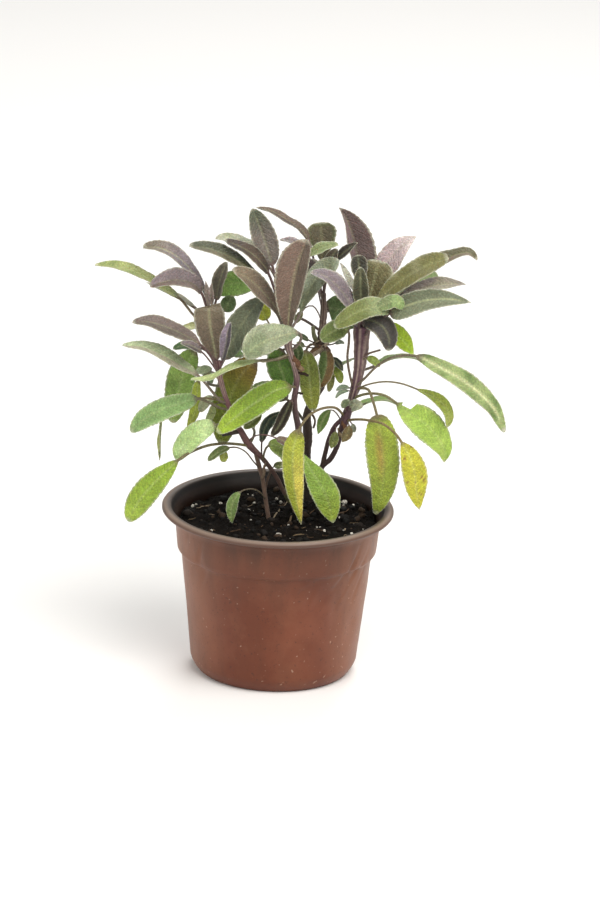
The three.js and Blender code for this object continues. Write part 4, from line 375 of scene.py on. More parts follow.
RIGHT_LEAVES = [
    ("great_dark", 24.5, 38, 38, 38, "pointed", "#584844", "#766464", "left",
     [(43.5, 197, 5), (42.8, 214, 12)],
     [(42.3, 224, 16), (40.3, 238, 22), (37.3, 252, 26), (33.5, 264, 28), (28.8, 272.3, 28)]),
    ("pink_pointed", 17, -35, -35, 8, "pointed", "#bca9a9", "#dccdc9", "tip",
     [(44, 199, 5), (46.5, 215, 14)],
     [(50, 228, 19), (56, 240, 22), (63, 249.5, 23), (71.6, 256.8, 22)]),
    ("olive_flat_top", 19.5, -8, -8, 6, "fan", "#66603f", "#8c8a68", "rim",
     [(44.2, 200, 4.5)],
     [(45.8, 212, 6), (48, 223, 8), (50, 232.5, 10), (51.5, 242, 12)]),
    ("dark_upright", 10, 0, -10, 22, "oblong", "#40402c", "#5e5e44", "rim",
     [(43.5, 203, 3.5)],
     [(42.9, 213, 1), (42.3, 221, 0), (41.9, 229, 0), (41.5, 237.4, 1)]),
    ("dark_curled", 10, 10, 10, 10, "blunt", "#3c3a30", "#504c40", "rim",
     [(43.4, 203, 4.5), (42.5, 220, 6)],
     [(42, 228, 7.5), (41, 236, 9), (39.8, 244.6, 10)]),
    ("pale_sliver", 4.5, 30, 30, 10, "pointed", "#bdb8ae", "#a8a698", "patch",
     [(42.8, 203.5, 4), (40.5, 216, 5)],
     [(38.6, 223, 5.5), (35, 231, 6.5), (30.5, 239.5, 7.5)]),
    ("long_curled", 14, -55, -60, 15, "oblong", "#5e5a40", "#70624e", "right",
     [(44.7, 200, 4), (53, 213, 10), (62, 223, 14)],
     [(70, 231, 15), (82, 240.3, 16), (92.5, 245.8, 15), (101.5, 247.9, 14), (106.3, 244, 13)]),
    ("olive_long", 16.5, -42, -42, 10, "blunt", "#6f6d40", "#7e7c58", "patch",
     [(44.3, 204, 4), (47.5, 210, 1)],
     [(51, 216, -1.5), (60, 226.5, -3.5), (70, 234.2, -5), (80, 240.2, -5.5), (89.9, 244.2, -6)]),
    ("grey_mauve", 15, -54, -54, 15, "pointed", "#8c807a", "#8c8672", "patch",
     [(45, 198, 2.5), (53, 208, -1)],
     [(61, 216.3, -3), (72, 223.4, -5), (83, 227.6, -7), (91.5, 228.8, -8), (99.8, 229.4, -8)]),
    ("green_side", 17, -36, -36, 8, "tapered", "#666c54", "#72785e", "right",
     [(44.8, 197, 2), (51.5, 205, -6)],
     [(58.5, 210.8, -12), (68, 215.3, -17), (79, 218.8, -20), (90, 219.8, -22), (103, 218.3, -23)]),
    ("dark_drooping", 13, -20, -15, 8, "oblong", "#403c38", "#504c42", "rim",
     [(42, 201.5, 1), (41.5, 205, -4)],
     [(43.5, 206.3, -7), (49.5, 205.8, -11), (55, 202.5, -13.5), (58.3, 196.5, -14.5),
      (58.8, 188.8, -14.5)]),
    ("front_twisted", 14, 35, 25, 10, "oblong", "#6e7640", "#94a074", "base",
     [(44.4, 203, 2.5), (54, 207, -6)],
     [(58.5, 212, -11), (52, 214.2, -14.5), (44, 212.2, -17), (35.5, 207.3, -18), (27.8, 201.6, -18)]),
    ("dark_front", 12.5, 20, 20, 8, "oblong", "#66743c", "#788450", "rim",
     [(40.3, 165.5, 6.8), (38, 173, 3), (36, 184, 0), (36.5, 194, -4)],
     [(36, 199.5, -6), (32, 201, -8), (26.5, 198.4, -9), (20.8, 193.6, -9)]),
    ("bright_small", 9, -25, -25, 10, "wide_tip", "#83985f", "#768258", "patch",
     [(45, 204.5, 3.5), (48.5, 210, -9)],
     [(50.5, 212.2, -14), (56, 216, -16), (61.5, 217.6, -17), (66.3, 213.6, -16.5)]),
    ("mauve_drooping", 15, 45, 55, 15, "oblong", "#7c7074", "#958c8c", "rim",
     [(43, 204, 4), (40.5, 209.5, 1)],
     [(38, 213.3, -1), (33.7, 219.6, -4), (28.3, 226, -6), (21, 231.3, -7), (13.6, 232.9, -7)]),
    ("yellow_pointed", 12, -30, -30, 8, "pointed", "#a0bc2c", "#a8c238", "rim",
     [(44.3, 200, 3.5), (51, 206, 2)],
     [(56.5, 205.5, 0), (62, 200.3, -2), (67, 194.6, -3), (72.8, 187.3, -4)]),
    ("small_green", 5, -20, -20, 10, "oblong", "#8ea04a", "#9cac5a", "tip",
     [(43, 182.5, 4)],
     [(47, 184.5, -1), (50.5, 183, -3), (54.2, 179.6, -4)]),
    ("long_pale", 12.5, -28, -28, 12, "oblong", "#8a9a60", "#687e44", "patch",
     [(41.5, 168, 5), (46, 172.5, 1), (53, 180.2, -5), (62, 185.6, -10)],
     [(74, 186.2, -14), (86, 180.7, -17), (98, 174.2, -19), (109, 166.2, -20), (118, 157, -20),
      (124.6, 143.4, -19)]),
    ("narrow_olive", 8.5, -40, -40, 12, "wide_tip", "#96a440", "#a4b054", "tip",
     [(41.6, 166, 5.5), (48, 169, 2), (57, 170.9, -1), (66, 170.2, -4)],
     [(75, 167.2, -6), (84, 163.2, -8), (90, 158.8, -9), (93.3, 153, -9), (93.2, 145.3, -8)]),
    ("bright_torn", 18.5, -20, -20, 8, "pointed", "#98b44c", "#a2ba56", "patch",
     [(39, 159.5, 7.7), (44, 162.5, 4), (51, 163.8, 0), (58, 162.6, -4)],
     [(64, 158.6, -6), (72, 152.8, -9), (80, 147.2, -11), (87, 140, -12), (91.6, 132, -12),
      (92, 124.5, -11)]),
    ("streaked_hanging", 19, -5, -5, 6, "wide_base", "#8e9e38", "#98783a", "middle",
     [(41.3, 166.5, 6), (48.2, 166, -1), (50.8, 160, -5)],
     [(53.4, 151.3, -8), (55.4, 142, -10), (57, 131, -11), (58.4, 118, -10), (57.8, 105, -8),
      (54.7, 92.5, -6)]),
    ("yellow_spotted", 14.5, -10, -10, 8, "pointed", "#b2b032", "#7a5a2c", "spots",
     [(37, 147.5, 9.5), (42, 148.2, 0), (48, 148, -9), (57, 146, -16), (64, 140.6, -18)],
     [(67.4, 136, -18), (72, 128, -19), (75.5, 118, -19), (77, 107, -18), (79, 96.3, -16)]),
    ("yellow_front", 13.5, -18, -18, 12, "tapered", "#949c34", "#d2c658", "low left",
     [(35.5, 150, 9.5), (30, 154.7, -3), (22, 153.6, -13), (15.5, 149.3, -20), (12.3, 144.8, -22)],
     [(10.5, 141, -23), (7.6, 130, -24), (7.6, 118, -24), (9.5, 103, -22), (13.5, 85.2, -19)]),
    ("small_hanging", 6, 0, 0, 10, "pointed", "#4a6222", "#5c7a34", "tip",
     [(33.7, 147.5, 11.3), (30.5, 152, 5)],
     [(27.8, 153.3, 1), (24.4, 149, -1), (21, 138.7, -3)]),
    ("cluster_right", 7, -10, -10, 12, "oblong", "#8c9078", "#a0a488", "rim",
     [(37.3, 152, 9.2)],
     [(38.5, 155.5, 4), (41.5, 156.5, 1), (45.5, 156, -1)]),
    ("cluster_top", 5, 20, 20, 12, "oblong", "#6f7a5c", "#868f70", "rim",
     [(36.8, 151, 9.5)],
     [(35.5, 155, 4), (35.5, 157.5, 2), (37.5, 159.8, 0)]),
    ("node_left_a", 3.6, 40, 40, 10, "oblong", "#6a7a68", "#7c8a78", "tip",
     [(40.5, 165.5, 6.5)],
     [(37.5, 166.8, 3), (34, 166.9, 1), (30.3, 165, 0)]),
    ("node_left_b", 3.2, 40, 40, 10, "oblong", "#6a7a68", "#7c8a78", "tip",
     [(40, 163.5, 6.9)],
     [(37, 165, 1), (33, 163.7, -2), (30, 160.4, -3)]),
    ("brown_hanging", 6, 10, 10, 12, "pointed", "#7a6a44", "#6a5a3a", "patch",
     [(36, 148.5, 10)],
     [(38.2, 145, 6), (37.8, 140, 5), (34.6, 134.5, 5)]),
    ("green_inner", 5.5, 0, 0, 10, "pointed", "#6a7238", "#7c8044", "tip",
     [(31, 144.6, 13.3)],
     [(30.8, 141, 9), (30.2, 136, 7.5), (28.6, 130.5, 7.5)]),
    ("grey_hanging", 3, 0, 0, 10, "oblong", "#7a8070", "#8c9080", "tip",
     [(37, 149, 9.6)],
     [(40, 145.5, 6), (41, 143, 5), (41.3, 140.5, 5)]),
    ("upper_right_rear", 16, 0, 0, 10, "oblong", "#66784a", "#7c7a60", "tip",
     [(43.5, 201, 5.5), (46, 216, 24)],
     [(48.5, 222, 32), (51, 227, 44), (52.5, 228, 56), (53, 225, 68)]),
    ("mid_right_rear", 15, -80, -80, 10, "oblong", "#74884e", "#8c9a5c", "tip",
     [(42.8, 178, 5), (46.5, 178, 18)],
     [(53, 181, 28), (62, 185.5, 39), (74, 186.2, 50), (84, 181.5, 60)]),
    ("low_right_rear", 14, -80, -80, 10, "oblong", "#7c9a48", "#94ac54", "patch",
     [(36.3, 149, 10), (39.5, 153, 20)],
     [(45, 157, 28), (52, 160, 40), (60, 160.5, 52), (67, 158, 62)]),
    ("far_right_rear", 16, 0, 0, 10, "oblong", "#748654", "#8a9668", "patch",
     [(44, 199, 5.5), (56, 216, 24)],
     [(63, 223, 34), (71, 230, 44), (79, 232, 54), (86, 228, 64)]),
]
LEAVES = {
    "left_leafy_stem": LEFT_LEAVES,
    "centre_leafy_stem": CENTRE_LEAVES,
    "back_leafy_stem": BACK_LEAVES,
    "right_leafy_stem": RIGHT_LEAVES,
}

# Torn places: the side of the blade (1 is right-hand), where the tear starts and ends, and how much
# of the half blade is left there
TEARS = {"bright_torn": (-1, 0.06, 0.2, 0.3), "torn_dark": (1, 0.4, 0.6, 0.45)}

# Outer profile of the pot, [radius, height], from the middle of its base to the inside of the rim
POT_OUTSIDE = [
    (0.0, 0.0), (12.0, 0.0), (25.0, 0.0), (35.0, 0.0), (39.5, 0.0), (41.6, 0.15), (42.8, 0.9), (44.0, 2.4),
    (45.3, 4.4), (46.3, 6.4), (46.8, 8.0), (47.4, 14.0), (48.1, 20.0), (48.7, 26.0), (49.4, 32.0),
    (50.0, 38.0), (50.7, 44.0), (51.4, 50.0), (52.1, 56.0), (52.8, 62.0), (53.3, 66.4), (53.6, 68.9),
    (54.2, 70.0), (55.4, 70.8), (55.9, 71.5), (56.1, 73.0), (56.4, 76.0), (56.7, 79.0), (57.0, 82.0),
    (57.3, 85.0), (57.6, 88.0), (58.2, 89.4), (58.7, 90.4), (58.8, 91.6), (58.9, 92.6), (59.6, 92.9),
    (62.0, 92.8), (63.7, 92.8), (64.5, 93.1), (65.0, 93.8), (65.0, 94.6), (64.5, 95.4), (63.6, 95.9),
    (62.3, 96.0), (61.0, 95.9), (60.1, 95.5), (59.5, 94.8), (58.9, 93.4), (57.6, 91.2), (56.4, 88.6),
]
POT_INSIDE = [
    (55.8, 85.0), (55.2, 79.0), (54.9, 73.5), (54.6, 72.2), (53.0, 70.9), (52.4, 69.3), (51.5, 62.0),
    (50.1, 50.0), (48.8, 38.0), (47.4, 26.0), (46.1, 14.0), (45.6, 8.4), (44.2, 4.9), (41.5, 2.2),
    (38.0, 1.25), (25.0, 1.2), (12.0, 1.2), (0.0, 1.2),
]
# Dents of the thin wall: [angle in degrees from the right, height, half width, half height, depth]
POT_DENTS = [
    (-37.0, 52.0, 7.0, 15.0, 0.9), (-47.0, 44.0, 5.0, 11.0, 0.6), (-62.0, 55.0, 5.0, 5.0, 0.6),
    (-29.0, 36.0, 6.0, 9.0, 0.7), (-128.0, 30.0, 12.0, 14.0, 0.5), (60.0, 45.0, 14.0, 16.0, 1.0),
    (150.0, 38.0, 12.0, 14.0, 0.8), (-8.0, 62.0, 9.0, 6.0, 0.6), (-100.0, 70.5, 9.0, 2.0, 0.7),
    (-75.0, 71.0, 6.0, 2.0, 0.8),
]
# Crumpled places of the wall, with the same five values: thin creases run through them
POT_CREASES = [
    (-44.0, 68.0, 13.0, 15.0, 1.5), (-143.0, 76.0, 7.0, 12.0, 1.2), (-70.0, 62.0, 8.0, 8.0, 0.7),
]

# White grains that show on the soil, [across, height, size]
GRAINS = [
    (-51, 93.5, 2.4), (-47.5, 94, 1.6), (-32.5, 95.5, 2.2), (-36.5, 81, 1.6), (-26, 84, 2.6),
    (-13.5, 98, 1.8), (-16.5, 92.5, 2.6), (-15, 86.5, 1.5), (-1, 98, 1.9), (1.5, 96.5, 2.8), (41, 101, 2.6),
    (43.5, 99.5, 3.2), (45.5, 98, 2.2), (47.5, 94.5, 1.8), (22, 97, 3.0), (24.5, 96, 2.2), (1, 79, 3.0),
    (24, 84, 1.7), (29, 92, 2.4), (37, 97, 1.6),
]
# Straw and bark that show on the soil, [across, height] at each end and the width
STRAWS = [
    (-24, 101, -13, 104, 1.3), (-4, 96, 0.5, 101, 1.0), (-3, 88, 2, 94, 1.1), (3.5, 95, 8, 103, 0.9),
    (6, 84, 8, 90, 1.2), (-28, 80, -20, 82, 1.4), (14, 90, 21, 92, 0.9), (27, 99, 32, 101, 2.2),
    (-46, 92, -38, 94.5, 0.9), (-44, 94, -37, 91.5, 0.7), (32, 92, 40, 95, 1.0), (9, 78, 17, 79.5, 1.6),
]
SOIL_LEVEL = 87.0

# Dead scraps of leaf at the stems' knots: [start, end, width, colour], with both ends as traced points
DRY_SCRAPS = {
    "left_leafy_stem": [
        [(-7.5, 121, 1.2), (-9.5, 111, 2.4), 1.6, "#7c6a58"],
        [(2.5, 106.5, 9.6), (6.8, 97, 12), 2.0, "#5c5a3c"],
    ],
    "centre_leafy_stem": [
        [(5.7, 184, -9), (11, 175, -7.6), 3.0, "#62442f"],
        [(7.5, 179, -8), (12.2, 175.8, -8), 2.4, "#7c644c"],
        [(8.6, 174.6, -6.4), (14.8, 173, -7), 1.5, "#2a1c12"],
        [(8, 163, -2.6), (12, 162.2, -3.5), 1.2, "#2a1c12"],
    ],
    "back_leafy_stem": [
        [(13, 181.5, 8), (25, 192.8, 15), 2.4, "#b8a690"],
        [(22.8, 192, 14.6), (26.9, 183.4, 13.6), 2.6, "#6e5240"],
        [(25.4, 188.5, 16), (28.2, 178.7, 15), 2.0, "#3c2c20"],
        [(20, 194, 15), (13.3, 190, 12), 0.9, "#a3937e"],
    ],
    "right_leafy_stem": [
        [(34.6, 147.4, 8.4), (37.8, 140.1, 8), 2.6, "#74523c"],
        [(32.4, 143, 11.6), (35.7, 135.3, 12), 1.8, "#98856a"],
    ],
}


def linear(hex_colour):
    """An sRGB hex colour as linear red, green, blue and alpha."""
    parts = [int(hex_colour[i:i + 2], 16) / 255 for i in (1, 3, 5)]
    return (*[p / 12.92 if p <= 0.04045 else ((p + 0.055) / 1.055) ** 2.4 for p in parts], 1.0)


def mix(first, second, share):
    return tuple(a + (b - a) * share for a, b in zip(first, second))


def clamp(value, low=0.0, high=1.0):
    return max(low, min(high, value))


def smooth_step(low, high, value):
    share = clamp((value - low) / (high - low))
    return share * share * (3 - 2 * share)


def scale_for(width):
    """The scale at which the cells of a pattern are this many millimetres wide."""
    return 1 / (width * MM)


def placed(point):
    """A traced point in the frame, in metres."""
    across, height, depth = point[:3]
    return Vector((across, depth, height - depth * math.tan(SIGHT_ANGLE))) * MM


# Pieces, meshes and nodes

def new_piece(name, vertices, faces, slot, replaced, smooth=True):
    """A mesh object that rides on the body and hides the CAD nodes named. Its slot is not used."""
    mesh = bpy.data.meshes.new(name)
    mesh.from_pydata(vertices, [], faces)
    mesh.validate()
    for polygon in mesh.polygons:
        polygon.use_smooth = smooth
    piece = bpy.data.objects.new(name, mesh)
    bpy.context.scene.collection.objects.link(piece)
    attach(piece, "root")
    if replaced:
        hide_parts(*replaced)
    return piece


def paint(piece, name, colours):
    """Stores one colour for each vertex."""
    layer = piece.data.color_attributes.new(name=name, type="FLOAT_COLOR", domain="POINT")
    layer.data.foreach_set("color", [channel for colour in colours for channel in colour])


def spread(piece, name, places):
    """Stores a UV map from one place for each vertex."""
    layer = piece.data.uv_layers.new(name=name)
    for loop in piece.data.loops:
        layer.data[loop.index].uv = places[loop.vertex_index]


def new_material(name):
    material = bpy.data.materials.new(name)
    material.use_nodes = True
    material.node_tree.nodes.clear()
    return material


def add(material, kind, settings=None, links=None):
    """Adds a node, gives its properties or sockets their values, and links its inputs."""
    node = material.node_tree.nodes.new(kind)
    for name, value in (settings or {}).items():
        if isinstance(name, str) and hasattr(node, name):
            setattr(node, name, value)
        else:
            node.inputs[name].default_value = value
    for name, source in (links or {}).items():
        material.node_tree.links.new(source, node.inputs[name])
    return node


def finish(material, shader):
    add(material, "ShaderNodeOutputMaterial", links={"Surface": shader.outputs[0]})
    return material


# Lines and lofts

SPAN_STEPS = 16
# A heading is taken over this length to either side
HEADING_REACH = 0.4 * MM


class Line:
    """A smooth line through points, even in length, as the CAD source draws its leaves and stems."""

    def __init__(self, points):
        padded = [points[0] * 2 - points[1], *points, points[-1] * 2 - points[-2]]
        self.places = [points[0]]
        self.marks = [0]
        for i in range(len(points) - 1):
            p0, p1, p2, p3 = padded[i:i + 4]
            gaps = [max((b - a).length ** 0.5, 1e-4) for a, b in ((p0, p1), (p1, p2), (p2, p3))]
            start = ((p1 - p0) / gaps[0] - (p2 - p0) / (gaps[0] + gaps[1]) + (p2 - p1) / gaps[1]) * gaps[1]
            end = ((p2 - p1) / gaps[1] - (p3 - p1) / (gaps[1] + gaps[2]) + (p3 - p2) / gaps[2]) * gaps[1]
            for step in range(1, SPAN_STEPS + 1):
                t = step / SPAN_STEPS
                self.places.append(p1 + start * t + (3 * (p2 - p1) - 2 * start - end) * t * t
                                   + (2 * (p1 - p2) + start + end) * t ** 3)
            self.marks.append(len(self.places) - 1)
        self.lengths = [0.0]
        for a, b in zip(self.places, self.places[1:]):
            self.lengths.append(self.lengths[-1] + (b - a).length)
        self.total = self.lengths[-1]
        self.starts = [self.lengths[mark] for mark in self.marks]

    def at(self, length):
        """The place at a length along the line."""
        length = clamp(length, 0.0, self.total)
        low, high = 0, len(self.lengths) - 1
        while high - low > 1:
            middle = (low + high) // 2
            if self.lengths[middle] <= length:
                low = middle
            else:
                high = middle
        span = max(self.lengths[high] - self.lengths[low], 1e-9)
        return self.places[low].lerp(self.places[high], (length - self.lengths[low]) / span)

    def heading(self, length):
        return (self.at(length + HEADING_REACH) - self.at(length - HEADING_REACH)).normalized()


def close_rings(rings, vertices, faces):
    """Joins equal rings of vertices into a closed tube, and adds it to the lists."""
    first = len(vertices)
    count = len(rings[0])
    for ring in rings:
        vertices.extend(ring)
    for row in range(len(rings) - 1):
        for k in range(count):
            a = first + row * count + k
            b = first + row * count + (k + 1) % count
            faces.append((a, b, b + count, a + count))
    last = first + (len(rings) - 1) * count
    faces.append(tuple(first + k for k in reversed(range(count))))
    faces.append(tuple(last + k for k in range(count)))


# Leaves

# Places across a blade, from its left edge (-1) to its right edge (1), closest at the rim and midrib
ACROSS = (-1.0, -0.95, -0.86, -0.7, -0.5, -0.3, -0.14, -0.05, 0.05, 0.14, 0.3, 0.5, 0.7, 0.86, 0.95, 1.0)
STALK_ROW_GAP = 2.5
BLADE_ROW_GAP = 0.85
# How much closer the rows stand at the ends of a blade, which rounds its tip
ROW_CROWDING = 0.7
# Fine round teeth along the rim: their gap, and their depth as a share of the half width
TOOTH_GAP = 2.4
TOOTH_DEPTH = 0.028
# Slow ripples of the rim, as a share of the half width
RIPPLE = 0.035
LEAST_REACH = 0.25
# Half thickness of a blade at its middle, how far the midrib stands out below it, and the half
# thickness that the sharpest edge keeps
HALF_THICKNESS = 0.27
MIDRIB_DEPTH = 0.35
LEAST_DEPTH = 0.02
# The groove over the midrib, and the swells between the side veins
GROOVE_DEPTH = 0.3
SWELL_HEIGHT = 0.11
VEIN_GAP = 4.6
# The blade arches down to its rim by this share of its half width
ARCH = 0.07
# Waves of a blade's rim: the even ones and the random ones, and their share on the narrow leaves
EVEN_WAVE = 0.5
RANDOM_WAVE = 0.35
NARROW_LEAF = 8
NARROW_WAVE_SHARE = 0.4
# The shares of the blade's length where it has left the stalk's shape and the stalk's colour
SHAPED_AT = 0.09
COLOURED_AT = 0.1

STALK_COLOUR = linear("#644a4a")
RIB_COLOUR = linear("#c2c694")
RIM_COLOUR = linear("#b9b8a4")
UNDERSIDE_COLOUR = linear("#98a286")
# Shares of the stalk's and the underside's colour in those of a leaf
STALK_SHARE = 0.78
UNDERSIDE_SHARE = 0.4
# From this place across, the blade turns pale towards its rim
RIM_FROM = 0.88
# How pale the midrib is, on the leaves where it isn't as on most, and how wide
PALE_RIBS = {
    "long_pale": 0.95, "streaked_hanging": 0.1, "green_side": 0.5, "great_upright": 0.35,
    "tan_upright": 0.35, "olive_flat_top": 0.35, "lime": 0.25, "upper_mauve": 0.4, "sage_broad": 0.4,
}
COMMON_RIB = 0.2
RIB_WIDTHS = {"long_pale": 1.1}
COMMON_RIB_WIDTH = 0.6
# How pale the rim is, on the leaves where it isn't as on most
PALE_RIMS = {
    "long_pale": 0.95, "olive_flat_top": 0.85, "green_side": 0.75, "curled_olive": 0.7, "tan_upright": 0.7,
}
COMMON_RIM = 0.55
# Widths of the spots and the patches of a second colour
SPOT_WIDTH = 2.0833
PATCH_WIDTH = 9.0909


def crowded(share):
    """A share of the blade's length, drawn towards the nearer end."""
    return share - ROW_CROWDING * math.sin(2 * math.pi * share) / (2 * math.pi)


def second_share(place, u, along, spot):
    """How much of the second colour shows at u across (-1 to 1) and along (0 to 1)."""
    if place == "tip":
        return smooth_step(0.45, 1.0, along)
    if place == "base":
        return smooth_step(0.55, 0.05, along)
    if place == "rim":
        return smooth_step(0.62, 1.0, max(abs(u), (along - 0.5) * 1.9))
    # Second colour on one half of a folded blade: partly the leaf's own colour, partly painted light and
    # shade of the fold
    if place == "left":
        return smooth_step(0.02, -0.12, u)
    if place == "low left":
        return smooth_step(0.02, -0.12, u) * smooth_step(0.12, 0.6, along)
    if place == "right":
        return smooth_step(-0.02, 0.12, u)
    if place == "middle":
        lengthwise = smooth_step(0.05, 0.3, along) * smooth_step(0.72, 0.4, along)
        return 0.75 * smooth_step(0.4, 0.0, abs(u - 0.14)) * lengthwise
    if place == "spots":
        return smooth_step(0.42, 0.54, noise.noise(spot * scale_for(SPOT_WIDTH)))
    return smooth_step(-0.1, 0.45, noise.noise(spot * scale_for(PATCH_WIDTH)))


class Leaf:
    """One row of the leaf table: the line that the leaf follows, and the shape and colour of its blade.

    A place on the blade is u across, from -1 at its left edge to 1 at its right edge, and along, from 0
    at its base to 1 at its tip.
    """

    def __init__(self, row, index):
        self.name, self.width, self.base_turn, self.tip_turn, fold, *looks, stalk, blade = row
        self.outline, main, second, self.second_place = looks
        self.index = index
        self.seed = index * 7.3 + self.width
        self.line = Line([placed(p) for p in [*stalk, *blade]])
        self.start = self.line.starts[len(stalk)]
        self.length = self.line.total - self.start
        self.stalk_half = clamp(self.width * 0.055, 0.38, 0.75)
        self.raised = math.radians(fold)
        self.wave_share = 1 if self.width > NARROW_LEAF else NARROW_WAVE_SHARE
        self.main, self.second = linear(main), linear(second)
        self.stalk_colour = mix(self.main, STALK_COLOUR, STALK_SHARE)

    def half_width(self, u, along):
        """Half of the plain blade's width on the side of u."""
        widest, sharpness = OUTLINES[self.outline]
        half = 0.5 * self.width * max(math.sin(math.pi * along ** widest), 0.0) ** sharpness
        torn_side, start, end, left = TEARS.get(self.name, (0, 0, 0, 1))
        if torn_side == (1 if u > 0 else -1) and start < along < end:
            half *= left
        return half

    def reach(self, u, along):
        """The same with the rim's ripples and teeth, and never less than the stalk or a thin rim."""
        half = max(self.half_width(u, along), self.stalk_half * (1 - along))
        ripple = 1 + RIPPLE * noise.noise(Vector((along * 14 + self.seed, 3.0 * (u > 0), self.seed)))
        teeth = 1 + TOOTH_DEPTH * math.sin(2 * math.pi * along * self.length / MM / TOOTH_GAP + self.seed)
        return max(half * ripple * teeth, LEAST_REACH)

    def lift(self, u, along, reach):
        """How far the fold, arch, waves, groove and swells raise the blade towards its upper face."""
        hand = 1 if u > 0 else -1
        bend = abs(u) * reach * math.sin(self.raised)
        arch = -ARCH * reach * (1 - math.cos(math.pi * abs(u))) * 0.5
        wave = EVEN_WAVE * math.sin(along * 9 + self.index + hand) * math.sin(math.pi * along)
        wave += RANDOM_WAVE * noise.noise(Vector((along * 9, u, self.seed)))
        groove = -GROOVE_DEPTH * math.exp(-(u * reach / 0.7) ** 2)
        slanted = along * self.length / MM - abs(u) * reach * 0.9
        swell = SWELL_HEIGHT * math.sin(2 * math.pi * slanted / VEIN_GAP)
        swell *= smooth_step(0.05, 0.3, abs(u)) * smooth_step(1.0, 0.8, abs(u))
        return bend + (arch + wave * u * u) * self.wave_share + groove + swell

    def half_depth(self, u, along, reach, face, shape):
        """From the middle of the thickness to the upper face (1) or the lower one (-1)."""
        thin = HALF_THICKNESS * (1 - 0.55 * u * u)
        if face < 0:
            thin += MIDRIB_DEPTH * math.exp(-(u * reach / 0.6) ** 2)
        round_stalk = math.sqrt(max(1 - u * u, 0.0)) * self.stalk_half
        depth = round_stalk * (1 - shape) + thin * shape + LEAST_DEPTH
        return depth * (1 - 0.6 * smooth_step(0.9, 1.0, along))

    def tone(self, u, along, reach, face, spot):
        """The colour of a place: the leaf's two colours, its midrib and rim, and its stalk at the base."""
        tone = mix(self.main, self.second, second_share(self.second_place, u, along, spot))
        if face < 0:
            tone = mix(tone, UNDERSIDE_COLOUR, UNDERSIDE_SHARE)
        rib_width = RIB_WIDTHS.get(self.name, COMMON_RIB_WIDTH)
        rib = math.exp(-(u * reach / rib_width) ** 2) * smooth_step(1.0, 0.75, along)
        tone = mix(tone, RIB_COLOUR, PALE_RIBS.get(self.name, COMMON_RIB) * rib)
        rim = smooth_step(RIM_FROM, 0.97, max(abs(u), (along - 0.5) * 2)) * smooth_step(0.1, 0.3, along)
        tone = mix(tone, RIM_COLOUR, PALE_RIMS.get(self.name, COMMON_RIM) * rim)
        return mix(self.stalk_colour, tone, smooth_step(0.0, COLOURED_AT, along))

    def directions(self, length, along):
        """The way that the upper face looks at a length of the line, and the way to the right edge."""
        heading = self.line.heading(length)
        facing = (TO_VIEWER - heading * TO_VIEWER.dot(heading)).normalized()
        turn = math.radians(self.base_turn + (self.tip_turn - self.base_turn) * along)
        facing = facing * math.cos(turn) + heading.cross(facing) * math.sin(turn)
        return facing, heading.cross(facing)

    def rings(self):
        """Rings of places from the stalk's foot to the tip, with a UV place and a colour for each."""
        stalk_rows = max(2, round(self.start / (STALK_ROW_GAP * MM)))
        blade_rows = max(8, round(self.length / (BLADE_ROW_GAP * MM)))
        rings, places, colours = [], [], []
        for row in range(stalk_rows + blade_rows + 1):
            on_stalk = row < stalk_rows
            along = 0.0 if on_stalk else crowded((row - stalk_rows) / blade_rows)
            length = self.start * row / stalk_rows if on_stalk else self.start + self.length * along
            centre = self.line.at(length)
            facing, side = self.directions(length, along)
            shape = smooth_step(0.0, SHAPED_AT, along)
            ring = []
            for face in (1, -1):
                for u in ACROSS if face > 0 else reversed(ACROSS):
                    reach = self.reach(u, along)
                    flat = u * reach * (1 - shape + shape * math.cos(self.raised))
                    raised = shape * self.lift(u, along, reach)
                    raised += face * self.half_depth(u, along, reach, face, shape)
                    spot = centre + side * (flat * MM) + facing * (raised * MM)
                    ring.append(spot)
                    places.append((abs(u) * reach / UV_UNIT, length / MM / UV_UNIT))
                    colours.append(self.tone(u, along, reach, face, spot))
            rings.append(ring)
        return rings, places, colours


# Hairs along the rim: their least and greatest length, half width, half thickness and depth of the root
HAIR_LENGTH = (0.35, 0.8)
HAIR_HALF_WIDTH = 0.04
HAIR_HALF_THICKNESS = 0.035
HAIR_ROOT = 0.12
# The first row of a leaf that carries hairs
FIRST_HAIRY_ROW = 3


def leaf_hairs(rings, rng, vertices, faces):
    """Short hairs that stand out from the rim of a blade, each a thin closed spike."""
    last = len(ACROSS) - 1
    for row in range(FIRST_HAIRY_ROW, len(rings) - 1):
        for rim, inner in ((0, 1), (last, last - 1)):
            here, after = rings[row][rim], rings[row + 1][rim]
            root = here.lerp(after, rng.random())
            outward = (here - rings[row][inner]).normalized()
            skew = Vector((rng.uniform(-1, 1), rng.uniform(-1, 1), rng.uniform(-1, 1))) * 0.5
            tip = root + (outward + skew).normalized() * rng.uniform(*HAIR_LENGTH) * MM
            aside = outward.cross(after - here).normalized() * HAIR_HALF_THICKNESS * MM
            ahead = (after - here).normalized() * HAIR_HALF_WIDTH * MM
            root -= outward * HAIR_ROOT * MM
            first = len(vertices)
            vertices.extend([root + aside, root - aside + ahead, root - aside - ahead, tip])
            faces.extend([(first, first + 2, first + 1), (first, first + 1, first + 3),
                          (first + 1, first + 2, first + 3), (first + 2, first, first + 3)])


SCRAP_ROWS = 10
SCRAP_THICKNESS = 0.28
SCRAP_ACROSS = (-1.0, -0.6, -0.2, 0.2, 0.6, 1.0)


